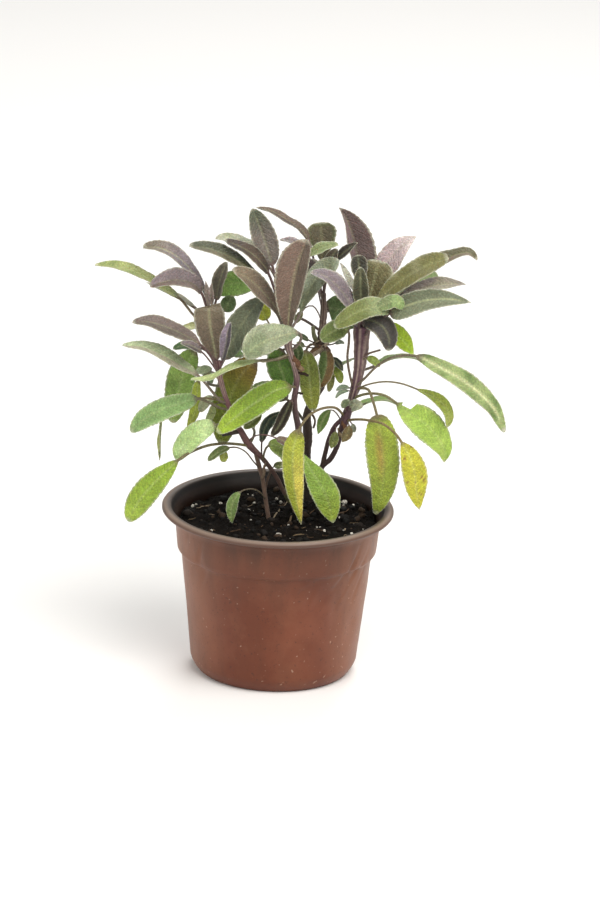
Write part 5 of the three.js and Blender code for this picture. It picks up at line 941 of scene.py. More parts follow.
def scrap_rings(start, end, width, seed):
    """A curled, crumpled strip of dead leaf between two traced points, as rings of places."""
    first, last = placed(start), placed(end)
    ahead = (last - first).normalized()
    aside = ahead.cross(TO_VIEWER).normalized()
    front = aside.cross(ahead)
    rings = []
    for row in range(SCRAP_ROWS + 1):
        share = row / SCRAP_ROWS
        spot = Vector((3 * share, 5.3 * seed, width))
        sway = aside * noise.noise(spot) + front * noise.noise(spot + Vector((9, 0, 0)))
        centre = first.lerp(last, share) + sway * 0.6 * width * math.sin(math.pi * share) * MM
        half = 0.5 * width * (0.3 + 0.7 * math.sin(math.pi * (0.1 + 0.8 * share)))
        half *= 1 + 0.6 * noise.noise(spot * 4)
        curl = clamp(1.1 + 0.9 * noise.noise(spot * 2), 0.5, 1.5)
        reach = half / math.sin(curl)
        ring = []
        for lift, places in ((0.5, SCRAP_ACROSS), (-0.5, reversed(SCRAP_ACROSS))):
            for place in places:
                out = aside * math.sin(place * curl) + front * math.cos(place * curl)
                ring.append(centre + (out * (reach + lift * SCRAP_THICKNESS) - front * reach) * MM)
        rings.append(ring)
    return rings


# Stems

STEM_ROW_GAP = 1.1
# Faces round a stem whose foot has more than this radius, and round a thinner one
STOUT_STEM = 1
STOUT_STEM_SIDES = 20
THIN_STEM_SIDES = 8
# From this share of a main stem upwards, the feet of the leaf stalks lie against it as pale ribs
RIBS_FROM = {
    "left_leafy_stem": 0.78, "centre_leafy_stem": 0.74, "back_leafy_stem": 0.8, "right_leafy_stem": 0.62,
}
RIB_COUNT = 7
RIB_HEIGHT = 0.16
STALK_FOOT_COLOUR = linear("#a08c80")
BARK_SHADE = linear("#2e2420")
# How rough the bark is, as a share of the radius: the oldest stem is the roughest
ROUGHNESS = {
    "left_leafy_stem": 0.06, "centre_leafy_stem": 0.08, "back_leafy_stem": 0.16, "right_leafy_stem": 0.07,
}


def stem_radius(stem, line, length):
    """The stem's radius at a length of its line, in millimetres."""
    span = 0
    while span < len(stem) - 2 and line.starts[span + 1] < length:
        span += 1
    share = (length - line.starts[span]) / max(line.starts[span + 1] - line.starts[span], 1e-9)
    return stem[span][3] + (stem[span + 1][3] - stem[span][3]) * clamp(share)


def stem_rings(low, high, stem, ribs_from, rough, seed):
    """Rings of places round a stem from its foot to its top, with a UV place and a colour for each."""
    line = Line([placed(p) for p in stem])
    rows = max(6, round(line.total / (STEM_ROW_GAP * MM)))
    sides = STOUT_STEM_SIDES if stem[0][3] > STOUT_STEM else THIN_STEM_SIDES
    low, high = linear(low), linear(high)
    rings, places, tones = [], [], []
    side = Vector((0, 1, 0)).cross(line.heading(0.0))
    for row in range(rows + 1):
        share = row / rows
        length = line.total * row / rows
        heading = line.heading(length)
        side = (side - heading * side.dot(heading)).normalized()
        front = heading.cross(side)
        radius = stem_radius(stem, line, length)
        centre = line.at(length)
        bark = mix(low, high, smooth_step(0.1, 0.8, share))
        ribbed = smooth_step(ribs_from, ribs_from + 0.1, share)
        ring = []
        for k in range(sides):
            angle = 2 * math.pi * k / sides
            out = side * math.cos(angle) + front * math.sin(angle)
            spot = centre + out * radius * MM
            woody = radius * rough * noise.noise(spot * 700 + Vector((seed, 0, 0)))
            knob = radius * rough * 1.2 * noise.noise(spot * 220 + Vector((0, seed, 0)))
            rib = ribbed * math.cos(RIB_COUNT * angle + 1.5 * math.sin(share * 9))
            ring.append(spot + out * (woody + knob + RIB_HEIGHT * radius * (rib - ribbed)) * MM)
            places.append((k / sides, length / MM / UV_UNIT))
            tone = mix(bark, BARK_SHADE, 0.3 * (0.5 + 0.5 * noise.noise(spot * 160)))
            tones.append(mix(tone, STALK_FOOT_COLOUR, 0.85 * smooth_step(-0.1, 0.7, rib)))
        rings.append(ring)
    return rings, places, tones


# Materials

# Noises over the pot: [width of their cells in millimetres, detail, roughness]
POT_NOISES = {
    "warmth": (41.667, 4.0, 0.55),
    "mottle": (16.667, 8.0, 0.65),
    "specks": (1.6129, 3.0, 0.5),
    "splashes": (2.381, 1.0, 0.5),
}
# Width and height of the streaks that water leaves on the wall
STREAK = (11.111, 71.43)
# Shares over the pot: [what a share follows, the values of that at its start and its end, the share at
# both]
POT_SHARES = {
    "faded": ("warmth", 0.44, 0.7, 0.0, 0.42),
    # The two sides are painted paler, a painted sheen, and the front and back stay darker, a painted shade
    "side sheen": ("aside", 0.028, 0.056, 0.0, 0.8),
    "stain": ("streaks", 0.5, 0.72, 0.0, 0.35),
    "dust": ("mottle", 0.5, 0.75, 0.0, 0.3),
    "speck": ("specks", 0.62, 0.7, 0.0, 0.45),
    "splash": ("splashes", 0.72, 0.79, 0.0, 0.42),
    # Under the rim, the collar is painted darker in streaks, most at the front and back: a painted shadow
    # of the rim, with some grime
    "collar": ("height", 0.05, 0.088, 0.0, 1.5),
    "front and back": ("aside", 0.03, 0.056, 1.0, 0.4),
    "rim": ("height", 0.0915, 0.0932, 0.0, 0.85),
    "upper side": ("upward", 0.3, 0.95, 0.0, 0.75),
    # The wall's inside, whose faces look towards the axis, is painted near black: soil stain, and painted
    # shade in the pot's hollow
    "inside": ("outward", -0.035, -0.05, 0.0, 0.9),
    "inner half": ("reach", 0.0632, 0.0612, 0.0, 0.8),
    "roughness": ("mottle", 0.0, 1.0, 0.32, 0.58),
}
# Shares that are the product of two others
POT_PRODUCTS = {
    # Streaks of the painted shadow under the rim, strongest at the front and back
    "patchy": ("front and back", "streaks"),
    "rim shadow and grime": ("collar", "patchy"),
    # The rim is paler on its upward faces
    "paler rim top": ("upper side", "rim"),
    # The inner half of the rim's top is painted as dark as the inside
    "dark inner rim": ("inner half", "rim"),
}
FADED_COLOUR = linear("#8a5038")
# Colour of the painted sheen on the two sides
SIDE_SHEEN_COLOUR = linear("#96664b")
# Colour of the water stains, and of the painted shadow under the rim
STAIN_AND_SHADOW_COLOUR = linear("#4c2d1e")
DUST_COLOUR = linear("#80523a")
SPECK_COLOUR = linear("#33211a")
SPLASH_COLOUR = linear("#b89a84")
# Colour of the rim's upward faces
RIM_TOP_COLOUR = linear("#978678")
# The near black of the pot's inside, soil stain and painted shade, also used on the rim's inner half
INSIDE_DARK_COLOUR = linear("#0e0a08")

# Colours between the lowest and the highest values of a noise: [value, colour]
SOIL_TONES = ((0.35, "#080706"), (0.68, "#1c1611"))
GRAIN_TONES = ((0.3, "#6f675c"), (0.55, "#d4cfc4"))
HAIR_TONES = ((0.0, "#a9ad97"), (1.0, "#dfe0d2"))

# Widths of the cells of the other patterns
SOIL_CRUMB = 2.381
SOIL_FIBRE = 3.8462
STRAW_FIBRE = 2.0
WRINKLE = 1.1111
LEAF_BLOTCH = 9.0909
HAIR_PATCH = 1.4286
PAPER_WAVE = 16.667
# Pores and down are finer in life, and are drawn as coarse as they have to be to show in a picture
GRAIN_PORE = 1.1111
DOWN_TUFT = 0.66667
# The net of veins sways by up to the second length, in cells as wide as the first
SWAY_WIDTH = 2.5
SWAY_REACH = 1.2
# Ridges of bark: how many go round a stem, and their length
BARK_RIDGES = 16
BARK_RIDGE_LENGTH = 2.8409

# The side veins leave the midrib at a slant, which narrows the gap between them
SIDE_VEIN_SLANT = math.radians(42.0)
SLANTED_GAP = 0.74 * VEIN_GAP
# At scale 1 a wave texture repeats after 2 pi / 20 units
SIDE_VEIN_SCALE = 2 * math.pi / (20 * SLANTED_GAP / UV_UNIT)


def pot_patterns(material, where):
    """The directions and noises that the dirt, and the painted light and shade, on the pot follow, as
    sockets by name.
    """
    space = {"Vector": where.outputs["Object"]}
    place = add(material, "ShaderNodeSeparateXYZ", links=space)
    facing = add(material, "ShaderNodeSeparateXYZ", links={"Vector": where.outputs["Normal"]})
    aside = add(material, "ShaderNodeMath", {"operation": "ABSOLUTE"}, {0: place.outputs["X"]})
    level = add(material, "ShaderNodeVectorMath", {"operation": "MULTIPLY", 1: (1.0, 1.0, 0.0)},
                {0: where.outputs["Object"]})
    reach = add(material, "ShaderNodeVectorMath", {"operation": "LENGTH"}, {0: level.outputs[0]})
    outward = add(material, "ShaderNodeVectorMath", {"operation": "DOT_PRODUCT"},
                  {0: level.outputs[0], 1: where.outputs["Normal"]})
    across, upright = scale_for(STREAK[0]), scale_for(STREAK[1])
    stretched = add(material, "ShaderNodeMapping", {"Scale": (across, across, upright)}, space)
    streaks = add(material, "ShaderNodeTexNoise", {"Scale": 1.0, "Detail": 7.0, "Roughness": 0.6},
                  {"Vector": stretched.outputs[0]})
    patterns = {
        "height": place.outputs["Z"],
        "aside": aside.outputs[0],
        "upward": facing.outputs["Z"],
        "reach": reach.outputs["Value"],
        "outward": outward.outputs["Value"],
        "streaks": streaks.outputs["Fac"],
    }
    for name, (width, detail, roughness) in POT_NOISES.items():
        grain = add(material, "ShaderNodeTexNoise",
                    {"Scale": scale_for(width), "Detail": detail, "Roughness": roughness}, space)
        patterns[name] = grain.outputs["Fac"]
    return patterns


def pot_material(settings):
    """Thin injection-moulded polypropylene, terracotta: a soft satin gloss, scuffed and water-stained."""
    material = new_material("moulded_polypropylene")
    where = add(material, "ShaderNodeTexCoord")
    shares = pot_patterns(material, where)
    for name, (pattern, start, end, low, high) in POT_SHARES.items():
        share = add(material, "ShaderNodeMapRange",
                    {"From Min": start, "From Max": end, "To Min": low, "To Max": high},
                    {"Value": shares[pattern]})
        shares[name] = share.outputs[0]
    for name, (first, second) in POT_PRODUCTS.items():
        product = add(material, "ShaderNodeMath", {"operation": "MULTIPLY"},
                      {0: shares[first], 1: shares[second]})
        shares[name] = product.outputs[0]
    layers = {
        "faded": FADED_COLOUR,
        # The painted sheen on the two sides
        "side sheen": SIDE_SHEEN_COLOUR,
        "stain": STAIN_AND_SHADOW_COLOUR,
        "dust": DUST_COLOUR,
        "speck": SPECK_COLOUR,
        "splash": SPLASH_COLOUR,
        # The painted shadow of the rim on the collar, with some grime
        "rim shadow and grime": STAIN_AND_SHADOW_COLOUR,
        "rim": settings.rim_colour,
        # The rim's paler upward faces
        "paler rim top": RIM_TOP_COLOUR,
        # Soil stain and painted shade inside the pot
        "inside": INSIDE_DARK_COLOUR,
        "dark inner rim": INSIDE_DARK_COLOUR,
    }
    ground = {}
    for name, colour in layers.items():
        layer = add(material, "ShaderNodeMix",
                    {"data_type": "RGBA", 6: settings.wall_colour, 7: colour},
                    {0: shares[name], **ground})
        ground = {6: layer.outputs[2]}
    dents = add(material, "ShaderNodeBump", {"Strength": 0.2, "Distance": 0.0005},
                {"Height": shares["mottle"]})
    pits = add(material, "ShaderNodeBump", {"Strength": 0.15, "Distance": 0.0002},
               {"Height": shares["specks"], "Normal": dents.outputs[0]})
    shader = add(material, "ShaderNodeBsdfPrincipled", {"IOR": 1.49, "Specular IOR Level": 0.35},
                 {"Base Color": layer.outputs[2], "Roughness": shares["roughness"],
                  "Normal": pits.outputs[0]})
    return finish(material, shader)


def soil_material():
    """Moist peat and bark potting mix: near black, with brown fibres and dull crumbs."""
    material = new_material("peat_potting_mix")
    where = add(material, "ShaderNodeTexCoord")
    space = {"Vector": where.outputs["Object"]}
    crumbs = add(material, "ShaderNodeTexVoronoi", {"Scale": scale_for(SOIL_CRUMB)}, space)
    fibre = add(material, "ShaderNodeTexNoise",
                {"Scale": scale_for(SOIL_FIBRE), "Detail": 8.0, "Roughness": 0.7}, space)
    tone = add(material, "ShaderNodeValToRGB", links={"Fac": fibre.outputs["Fac"]})
    for stop, (value, colour) in zip(tone.color_ramp.elements, SOIL_TONES):
        stop.position = value
        stop.color = linear(colour)
    clumps = add(material, "ShaderNodeBump", {"Strength": 0.9, "Distance": 0.002},
                 {"Height": fibre.outputs["Fac"]})
    rough = add(material, "ShaderNodeBump", {"Strength": 0.8, "Distance": 0.0014},
                {"Height": crumbs.outputs["Distance"], "Normal": clumps.outputs[0]})
    shader = add(material, "ShaderNodeBsdfPrincipled",
                 {"Roughness": 0.95, "IOR": 1.35, "Specular IOR Level": 0.2},
                 {"Base Color": tone.outputs["Color"], "Normal": rough.outputs[0]})
    return finish(material, shader)


def grain_material():
    """Expanded perlite: chalk-white, porous and quite matte, with soil in its pores."""
    material = new_material("expanded_perlite")
    where = add(material, "ShaderNodeTexCoord")
    space = {"Vector": where.outputs["Object"]}
    pores = add(material, "ShaderNodeTexNoise", {"Scale": scale_for(GRAIN_PORE), "Detail": 4.0}, space)
    tone = add(material, "ShaderNodeValToRGB", links={"Fac": pores.outputs["Fac"]})
    for stop, (value, colour) in zip(tone.color_ramp.elements, GRAIN_TONES):
        stop.position = value
        stop.color = linear(colour)
    bump = add(material, "ShaderNodeBump", {"Strength": 0.5, "Distance": 0.0003},
               {"Height": pores.outputs["Fac"]})
    shader = add(material, "ShaderNodeBsdfPrincipled", {"Roughness": 0.85, "IOR": 1.5},
                 {"Base Color": tone.outputs["Color"], "Normal": bump.outputs[0]})
    return finish(material, shader)


def hair_material():
    """Plant hair: fine, clear and silvery white."""
    material = new_material("plant_hair")
    where = add(material, "ShaderNodeTexCoord")
    space = {"Vector": where.outputs["Object"]}
    uneven = add(material, "ShaderNodeTexNoise", {"Scale": scale_for(HAIR_PATCH)}, space)
    tone = add(material, "ShaderNodeValToRGB", links={"Fac": uneven.outputs["Fac"]})
    for stop, (value, colour) in zip(tone.color_ramp.elements, HAIR_TONES):
        stop.position = value
        stop.color = linear(colour)
    shader = add(material, "ShaderNodeBsdfPrincipled", {"Roughness": 0.5, "IOR": 1.5},
                 {"Base Color": tone.outputs["Color"]})
    return finish(material, shader)


def uneven_skin(material, pattern, shades, relief):
    """The painted tone, darker and paler with a pattern, and the pattern's relief, for a shader."""
    colour = add(material, "ShaderNodeVertexColor", {"layer_name": "tone"})
    shade = add(material, "ShaderNodeMapRange", shades, {"Value": pattern.outputs["Fac"]})
    tone = add(material, "ShaderNodeVectorMath", {"operation": "SCALE"},
               {0: colour.outputs["Color"], "Scale": shade.outputs[0]})
    bump = add(material, "ShaderNodeBump", relief, {"Height": pattern.outputs["Fac"]})
    return {"Base Color": tone.outputs["Vector"], "Normal": bump.outputs[0]}


def litter_material():
    """Dry straw and shredded bark: dull tan fibres that run along each piece."""
    material = new_material("dry_straw")
    where = add(material, "ShaderNodeTexCoord")
    space = {"Vector": where.outputs["Object"]}
    fibre = add(material, "ShaderNodeTexNoise", {"Scale": scale_for(STRAW_FIBRE), "Detail": 6.0}, space)
    skin = uneven_skin(material, fibre, {"To Min": 0.55, "To Max": 1.25},
                       {"Strength": 0.5, "Distance": 0.0003})
    shader = add(material, "ShaderNodeBsdfPrincipled",
                 {"Roughness": 0.8, "IOR": 1.45, "Specular IOR Level": 0.3}, skin)
    return finish(material, shader)


def dead_leaf_material():
    """Dead sage leaf: brittle, matte and brown, darker in its wrinkles, a painted shade."""
    material = new_material("dead_sage_leaf")
    where = add(material, "ShaderNodeTexCoord")
    space = {"Vector": where.outputs["Object"]}
    wrinkles = add(material, "ShaderNodeTexNoise",
                   {"Scale": scale_for(WRINKLE), "Detail": 5.0, "Roughness": 0.65}, space)
    skin = uneven_skin(material, wrinkles,
                       {"From Min": 0.3, "From Max": 0.7, "To Min": 0.45, "To Max": 1.35},
                       {"Strength": 0.7, "Distance": 0.0004})
    shader = add(material, "ShaderNodeBsdfPrincipled", {"Roughness": 0.85, "IOR": 1.4}, skin)
    return finish(material, shader)


def stem_material():
    """Young sage wood: thin fibrous bark with fine lengthwise ridges, downy towards the top."""
    material = new_material("young_sage_wood")
    where = add(material, "ShaderNodeTexCoord")
    along = add(material, "ShaderNodeMapping",
                {"Scale": (BARK_RIDGES, UV_UNIT / BARK_RIDGE_LENGTH, 1.0)}, {"Vector": where.outputs["UV"]})
    ridges = add(material, "ShaderNodeTexNoise", {"Scale": 1.0, "Detail": 6.0, "Roughness": 0.65},
                 {"Vector": along.outputs[0]})
    skin = uneven_skin(material, ridges,
                       {"From Min": 0.3, "From Max": 0.7, "To Min": 0.6, "To Max": 1.4},
                       {"Strength": 0.6, "Distance": 0.0004})
    shader = add(material, "ShaderNodeBsdfPrincipled",
                 {"Roughness": 0.7, "IOR": 1.45, "Sheen Weight": 0.15, "Sheen Roughness": 0.5}, skin)
    return finish(material, shader)


def leaf_material(settings):
    """Living sage leaf: a matte, pebbled skin between sunken net veins, under a grey down.

    The real net is finer than a millimetre, so it is drawn coarser here to show in a picture.
    """
    material = new_material("downy_sage_leaf")
    where = add(material, "ShaderNodeTexCoord")
    space = {"Vector": where.outputs["Object"]}
    colour = add(material, "ShaderNodeVertexColor", {"layer_name": "tone"})
    swayed = add(material, "ShaderNodeTexNoise", {"Scale": scale_for(SWAY_WIDTH), "Detail": 2.0}, space)
    sway = add(material, "ShaderNodeVectorMath",
               {"operation": "MULTIPLY_ADD", 1: [SWAY_REACH * MM] * 3},
               {0: swayed.outputs["Color"], 2: where.outputs["Object"]})
    net = add(material, "ShaderNodeTexVoronoi", {"Scale": 1.0 / settings.net_gap, "feature": "F1"},
              {"Vector": sway.outputs[0]})
    blotch = add(material, "ShaderNodeTexNoise",
                 {"Scale": scale_for(LEAF_BLOTCH), "Detail": 5.0, "Roughness": 0.6}, space)
    down = add(material, "ShaderNodeTexNoise",
               {"Scale": scale_for(DOWN_TUFT), "Detail": 3.0, "Roughness": 0.7}, space)
    turned = add(material, "ShaderNodeMapping", {"Rotation": (0.0, 0.0, SIDE_VEIN_SLANT)},
                 {"Vector": where.outputs["UV"]})
    waves = add(material, "ShaderNodeTexWave",
                {"bands_direction": "Y", "Scale": SIDE_VEIN_SCALE, "Distortion": 0.6, "Detail": 1.0},
                {"Vector": turned.outputs[0]})
    veins = add(material, "ShaderNodeMapRange", {"From Min": 0.86, "From Max": 1.0},
                {"Value": waves.outputs["Fac"]})
    shaded = colour.outputs["Color"]
    # The painted tone is scaled by the blotches and the down, made paler in the side veins, and darker on
    # the sunken net than on the pebbles between it, a painted shade
    for source, start, end, low, high in (
        (blotch.outputs["Fac"], 0.3, 0.7, 0.78, 1.2),
        (net.outputs["Distance"], 0.15, 0.8, 1.12, 0.78),
        (down.outputs["Fac"], 0.3, 0.7, 0.8, 1.2),
        (veins.outputs[0], 0.0, 1.0, 1.0, 1.22),
    ):
        shade = add(material, "ShaderNodeMapRange",
                    {"From Min": start, "From Max": end, "To Min": low, "To Max": high}, {"Value": source})
        tone = add(material, "ShaderNodeVectorMath", {"operation": "SCALE"},
                   {0: shaded, "Scale": shade.outputs[0]})
        shaded = tone.outputs["Vector"]
    groove = add(material, "ShaderNodeBump", {"Strength": 0.5, "Distance": 0.0004, "invert": True},
                 {"Height": veins.outputs[0]})
    pebbles = add(material, "ShaderNodeBump", {"Strength": 0.7, "Distance": 0.0005, "invert": True},
                  {"Height": net.outputs["Distance"], "Normal": groove.outputs[0]})
    fuzz = add(material, "ShaderNodeBump", {"Strength": 0.3, "Distance": 0.00015},
               {"Height": down.outputs["Fac"], "Normal": pebbles.outputs[0]})
    shader = add(material, "ShaderNodeBsdfPrincipled",
                 {"Roughness": 0.6, "IOR": 1.42, "Sheen Weight": 0.06, "Sheen Roughness": 0.5,
                  "Sheen Tint": settings.down_colour, "Subsurface Weight": 0.1, "Subsurface Scale": 0.0008},
                 {"Base Color": shaded, "Normal": fuzz.outputs[0]})
    return finish(material, shader)


def backdrop_material(colour):
    """Matt studio paper: even and pale."""
    material = new_material("matt_studio_paper")
    where = add(material, "ShaderNodeTexCoord")
    space = {"Vector": where.outputs["Object"]}
    grain = add(material, "ShaderNodeTexNoise", {"Scale": scale_for(PAPER_WAVE)}, space)
    bump = add(material, "ShaderNodeBump", {"Strength": 0.02, "Distance": 0.0002},
               {"Height": grain.outputs["Fac"]})
    shader = add(material, "ShaderNodeBsdfPrincipled", {"Base Color": colour, "Roughness": 0.9},
                 {"Normal": bump.outputs[0]})
    return finish(material, shader)


# Settings that a user would change

class SageLeafSettings(bpy.types.PropertyGroup):
    net_gap: bpy.props.FloatProperty(
        name="Vein net", description="Gap between the veins of the net", default=0.0011,
        min=0.0005, max=0.004, subtype="DISTANCE", unit="LENGTH", precision=4)
    down_colour: bpy.props.FloatVectorProperty(
        name="Down colour", description="Colour of the fine down on the leaves", subtype="COLOR", size=4,
        min=0.0, max=1.0, default=linear("#c4c8ba"))
    seed: bpy.props.IntProperty(name="Seed", description="Seed of the leaf hairs", default=17)


class SagePotSettings(bpy.types.PropertyGroup):
    segments: bpy.props.IntProperty(name="Segments", description="Faces round the pot", default=360, min=48)
    wall_colour: bpy.props.FloatVectorProperty(
        name="Wall colour", description="Colour of the plastic", subtype="COLOR", size=4,
        min=0.0, max=1.0, default=linear("#602e19"))
    rim_colour: bpy.props.FloatVectorProperty(
        name="Rim colour", description="Colour of the worn, dusty rim", subtype="COLOR", size=4,
        min=0.0, max=1.0, default=linear("#584238"))


class SageSoilSettings(bpy.types.PropertyGroup):
    clod: bpy.props.FloatProperty(
        name="Clods", description="Height of the clods in the soil's surface", default=0.002,
        subtype="DISTANCE", unit="LENGTH", precision=4)
    seed: bpy.props.IntProperty(name="Seed", description="Seed of the loose grains and bits", default=5)


class SageStageSettings(bpy.types.PropertyGroup):
    floor_colour: bpy.props.FloatVectorProperty(
        name="Floor colour", description="Colour of the floor", subtype="COLOR", size=4,
        min=0.0, max=1.0, default=linear("#f4f3f1"))
    key_power: bpy.props.FloatProperty(
        name="Key light", description="Power of the main light", default=29.0, unit="POWER")
    camera_gap: bpy.props.FloatProperty(
        name="Camera distance", description="From the camera to the pot's axis", default=4.0,
        subtype="DISTANCE", unit="LENGTH")


# Pot

# The most between two rows of the pot's wall
WALL_ROW_GAP = 2.0
# Heights between which the true base turns into the bent wall, the wall into the collar, and the
# collar into the nearly true rim
WALL_START = (6, 14)
COLLAR_START = (66, 74)
RIM_START = (82, 92)
TRUER_RIM = 0.85
# The wall sways three times round by the first, and unevenly by the second
EVEN_SWAY = 0.18
RANDOM_SWAY = 0.12
# The deepest that dents and creases together may go in the wall and in the collar, and the farthest out
WALL_DEPTH = 1.15
COLLAR_DEPTH = 1.8
MOST_OUT = 0.3
# The drain holes: how many, the circle on which they lie, their radius, and where their cutter ends
DRAIN_HOLES = 6
DRAIN_CIRCLE = 30
DRAIN_RADIUS = 4.5
DRAIN_SIDES = 24
DRAIN_CUT = (-2.0, 4.0)


def finer(profile, gap):
    """The same profile with its long spans divided."""
    points = [profile[0]]
    for (r0, h0), (r1, h1) in zip(profile, profile[1:]):
        parts = math.ceil(math.hypot(r1 - r0, h1 - h0) / gap)
        points.extend((r0 + (r1 - r0) * i / parts, h0 + (h1 - h0) * i / parts) for i in range(1, parts + 1))
    return points


def on_circle(radius, k, count, height=0.0):
    """The place number k of count on an upright cylinder, in millimetres."""
    angle = 2 * math.pi * k / count
    return Vector((radius * math.cos(angle), radius * math.sin(angle), height))


def dent_share(angle, height, radius, degrees, middle, wide, tall):
    """How far a place on the wall lies along it from a dent's middle, and how much of the dent it takes."""
    away = (math.degrees(angle) - degrees + 180) % 360 - 180
    across = math.radians(away) * radius
    return across, math.exp(-(across / wide) ** 2 - ((height - middle) / tall) ** 2)


def wall_shift(angle, height, radius):
    """Dents and the slight waviness of a thin moulded wall, which leave the base and the rim's top true."""
    if height < WALL_START[0]:
        return 0.0
    total = EVEN_SWAY * math.sin(3 * angle + 0.7) * smooth_step(WALL_START[0], 50, height)
    total += RANDOM_SWAY * noise.noise(Vector((math.cos(angle) * 3, math.sin(angle) * 3, height / 22)))
    for *dent, depth in POT_DENTS:
        total -= depth * dent_share(angle, height, radius, *dent)[1]
    for *dent, depth in POT_CREASES:
        across, share = dent_share(angle, height, radius, *dent)
        fold = abs(noise.noise(Vector((across / 13 - height / 19, height / 30, dent[0]))))
        total -= depth * share * smooth_step(0.26, 0.0, fold)
    most = WALL_DEPTH + (COLLAR_DEPTH - WALL_DEPTH) * smooth_step(*COLLAR_START, height)
    shown = smooth_step(*WALL_START, height) * (1 - TRUER_RIM * smooth_step(*RIM_START, height))
    return clamp(total, -most, MOST_OUT) * shown


class SAGE_OT_pot(bpy.types.Operator):
    """Turns the thin pot with its collar, rolled rim, dents and drain holes"""

    bl_idname = "sage.pot"
    bl_label = "Nursery pot"

    def execute(self, context):
        settings = context.scene.sage_pot
        profile = finer([*POT_OUTSIDE, *POT_INSIDE], WALL_ROW_GAP)
        count = settings.segments
        vertices, faces = [], []
        for k in range(count):
            angle = 2 * math.pi * k / count
            for radius, height in profile[1:-1]:
                reach = radius + wall_shift(angle, height, radius)
                vertices.append(on_circle(reach, k, count, height) * MM)
        rings = len(profile) - 2
        bottom, top = len(vertices), len(vertices) + 1
        vertices.extend([Vector((0, 0, profile[0][1])) * MM, Vector((0, 0, profile[-1][1])) * MM])
        for k in range(count):
            here, after = k * rings, (k + 1) % count * rings
            for i in range(rings - 1):
                faces.append((here + i, after + i, after + i + 1, here + i + 1))
            faces.append((bottom, after, here))
            faces.append((top, here + rings - 1, after + rings - 1))
        piece = new_piece("nursery_pot", vertices, faces, "pot", ["pot"])
        self.drill(context, piece)
        piece.data.materials.append(pot_material(settings))
        return {"FINISHED"}

    def drill(self, context, piece):
        """Cuts the drain holes."""
        vertices, faces = [], []
        for hole in range(DRAIN_HOLES):
            middle = on_circle(DRAIN_CIRCLE, hole + 0.5, DRAIN_HOLES)
            rings = [[(middle + on_circle(DRAIN_RADIUS, k, DRAIN_SIDES, height)) * MM
                      for k in range(DRAIN_SIDES)] for height in DRAIN_CUT]
            close_rings(rings, vertices, faces)
        mesh = bpy.data.meshes.new("drill")
        mesh.from_pydata(vertices, [], faces)
        drill = bpy.data.objects.new("drill", mesh)
        context.scene.collection.objects.link(drill)
        cut = piece.modifiers.new("drain_holes", "BOOLEAN")
        cut.operation = "DIFFERENCE"
        cut.object = drill
        drilled = bpy.data.meshes.new_from_object(piece.evaluated_get(context.evaluated_depsgraph_get()))
        piece.modifiers.clear()
        piece.data = drilled
        bpy.data.objects.remove(drill)
        for polygon in piece.data.polygons:
            polygon.use_smooth = True


# Soil

# The soil's top: its rings, the faces round each and the outer radius. Below it the side is a profile,
# [radius, height], down to the flat underside.
SOIL_RINGS = 56
SOIL_SIDES = 160
SOIL_RADIUS = 54.9
SOIL_SIDE = [
    (55.3, 84.5), (54.2, 78.0), (53.9, 73.3), (53.0, 72.2), (51.9, 70.5), (49.8, 50.0), (47.0, 24.0),
    (45.0, 9.0), (43.0, 5.2), (40.0, 1.8), (20.0, 1.7),
]
SOIL_UNDERSIDE = 1.7
# The surface's slow swells, [size, height], and its clods, [size, share of the setting's height]
SWELL = (26, 0.9)
CLODS = ((7, 1.3), (3, 0.8), (1.4, 0.5))


def soil_height(x, y, clod):
    """Height of the soil's surface, in millimetres, at a place in millimetres."""
    spot = Vector((x, y, 4.0))
    height = SOIL_LEVEL + SWELL[1] * noise.noise(spot / SWELL[0])
    return height + clod / MM * sum(share * noise.noise(spot / size) for size, share in CLODS)


class SAGE_OT_soil(bpy.types.Operator):
    """Fills the pot with potting soil that has an uneven top"""

    bl_idname = "sage.soil"
    bl_label = "Potting soil"

    def execute(self, context):
        clod = context.scene.sage_soil.clod
        vertices, faces = [], []
        for row in range(SOIL_RINGS):
            for k in range(SOIL_SIDES):
                spot = on_circle(SOIL_RADIUS * (row + 1) / SOIL_RINGS, k, SOIL_SIDES)
                spot.z = soil_height(spot.x, spot.y, clod)
                vertices.append(spot * MM)
        for radius, height in SOIL_SIDE:
            vertices.extend(on_circle(radius, k, SOIL_SIDES, height) * MM for k in range(SOIL_SIDES))
        rows = SOIL_RINGS + len(SOIL_SIDE) - 1
        middle, under = len(vertices), len(vertices) + 1
        vertices.extend([Vector((0, 0, soil_height(0, 0, clod))) * MM, Vector((0, 0, SOIL_UNDERSIDE)) * MM])
        for k in range(SOIL_SIDES):
            after = (k + 1) % SOIL_SIDES
            for first in range(0, rows * SOIL_SIDES, SOIL_SIDES):
                faces.append((first + k, first + SOIL_SIDES + k, first + SOIL_SIDES + after, first + after))
            faces.append((middle, k, after))
            faces.append((under, rows * SOIL_SIDES + after, rows * SOIL_SIDES + k))
        piece = new_piece("potting_mix", vertices, faces, "potting_soil", ["potting_soil"])
        piece.data.materials.append(soil_material())
        return {"FINISHED"}


# Grains, crumbs, straw and bark on the soil

LITTER_RADIUS = 52.0
LOOSE_GRAINS = 30
CRUMBS = 420
CRUMB_COLOURS = ["#0a0806", "#120e0b", "#1e1711", "#080706", "#3a2c20"]
# Loose straws: how many, how far out they start, and the least and greatest length and width
LOOSE_STRAWS = 34
STRAW_RADIUS = 48
STRAW_LENGTH = (2, 6)
STRAW_WIDTH = (0.4, 1.1)
STRAW_STEPS = 8
STRAW_SIDES = 6
STRAW_COLOURS = ["#74624a", "#5a4430", "#8a7a64", "#42301f"]


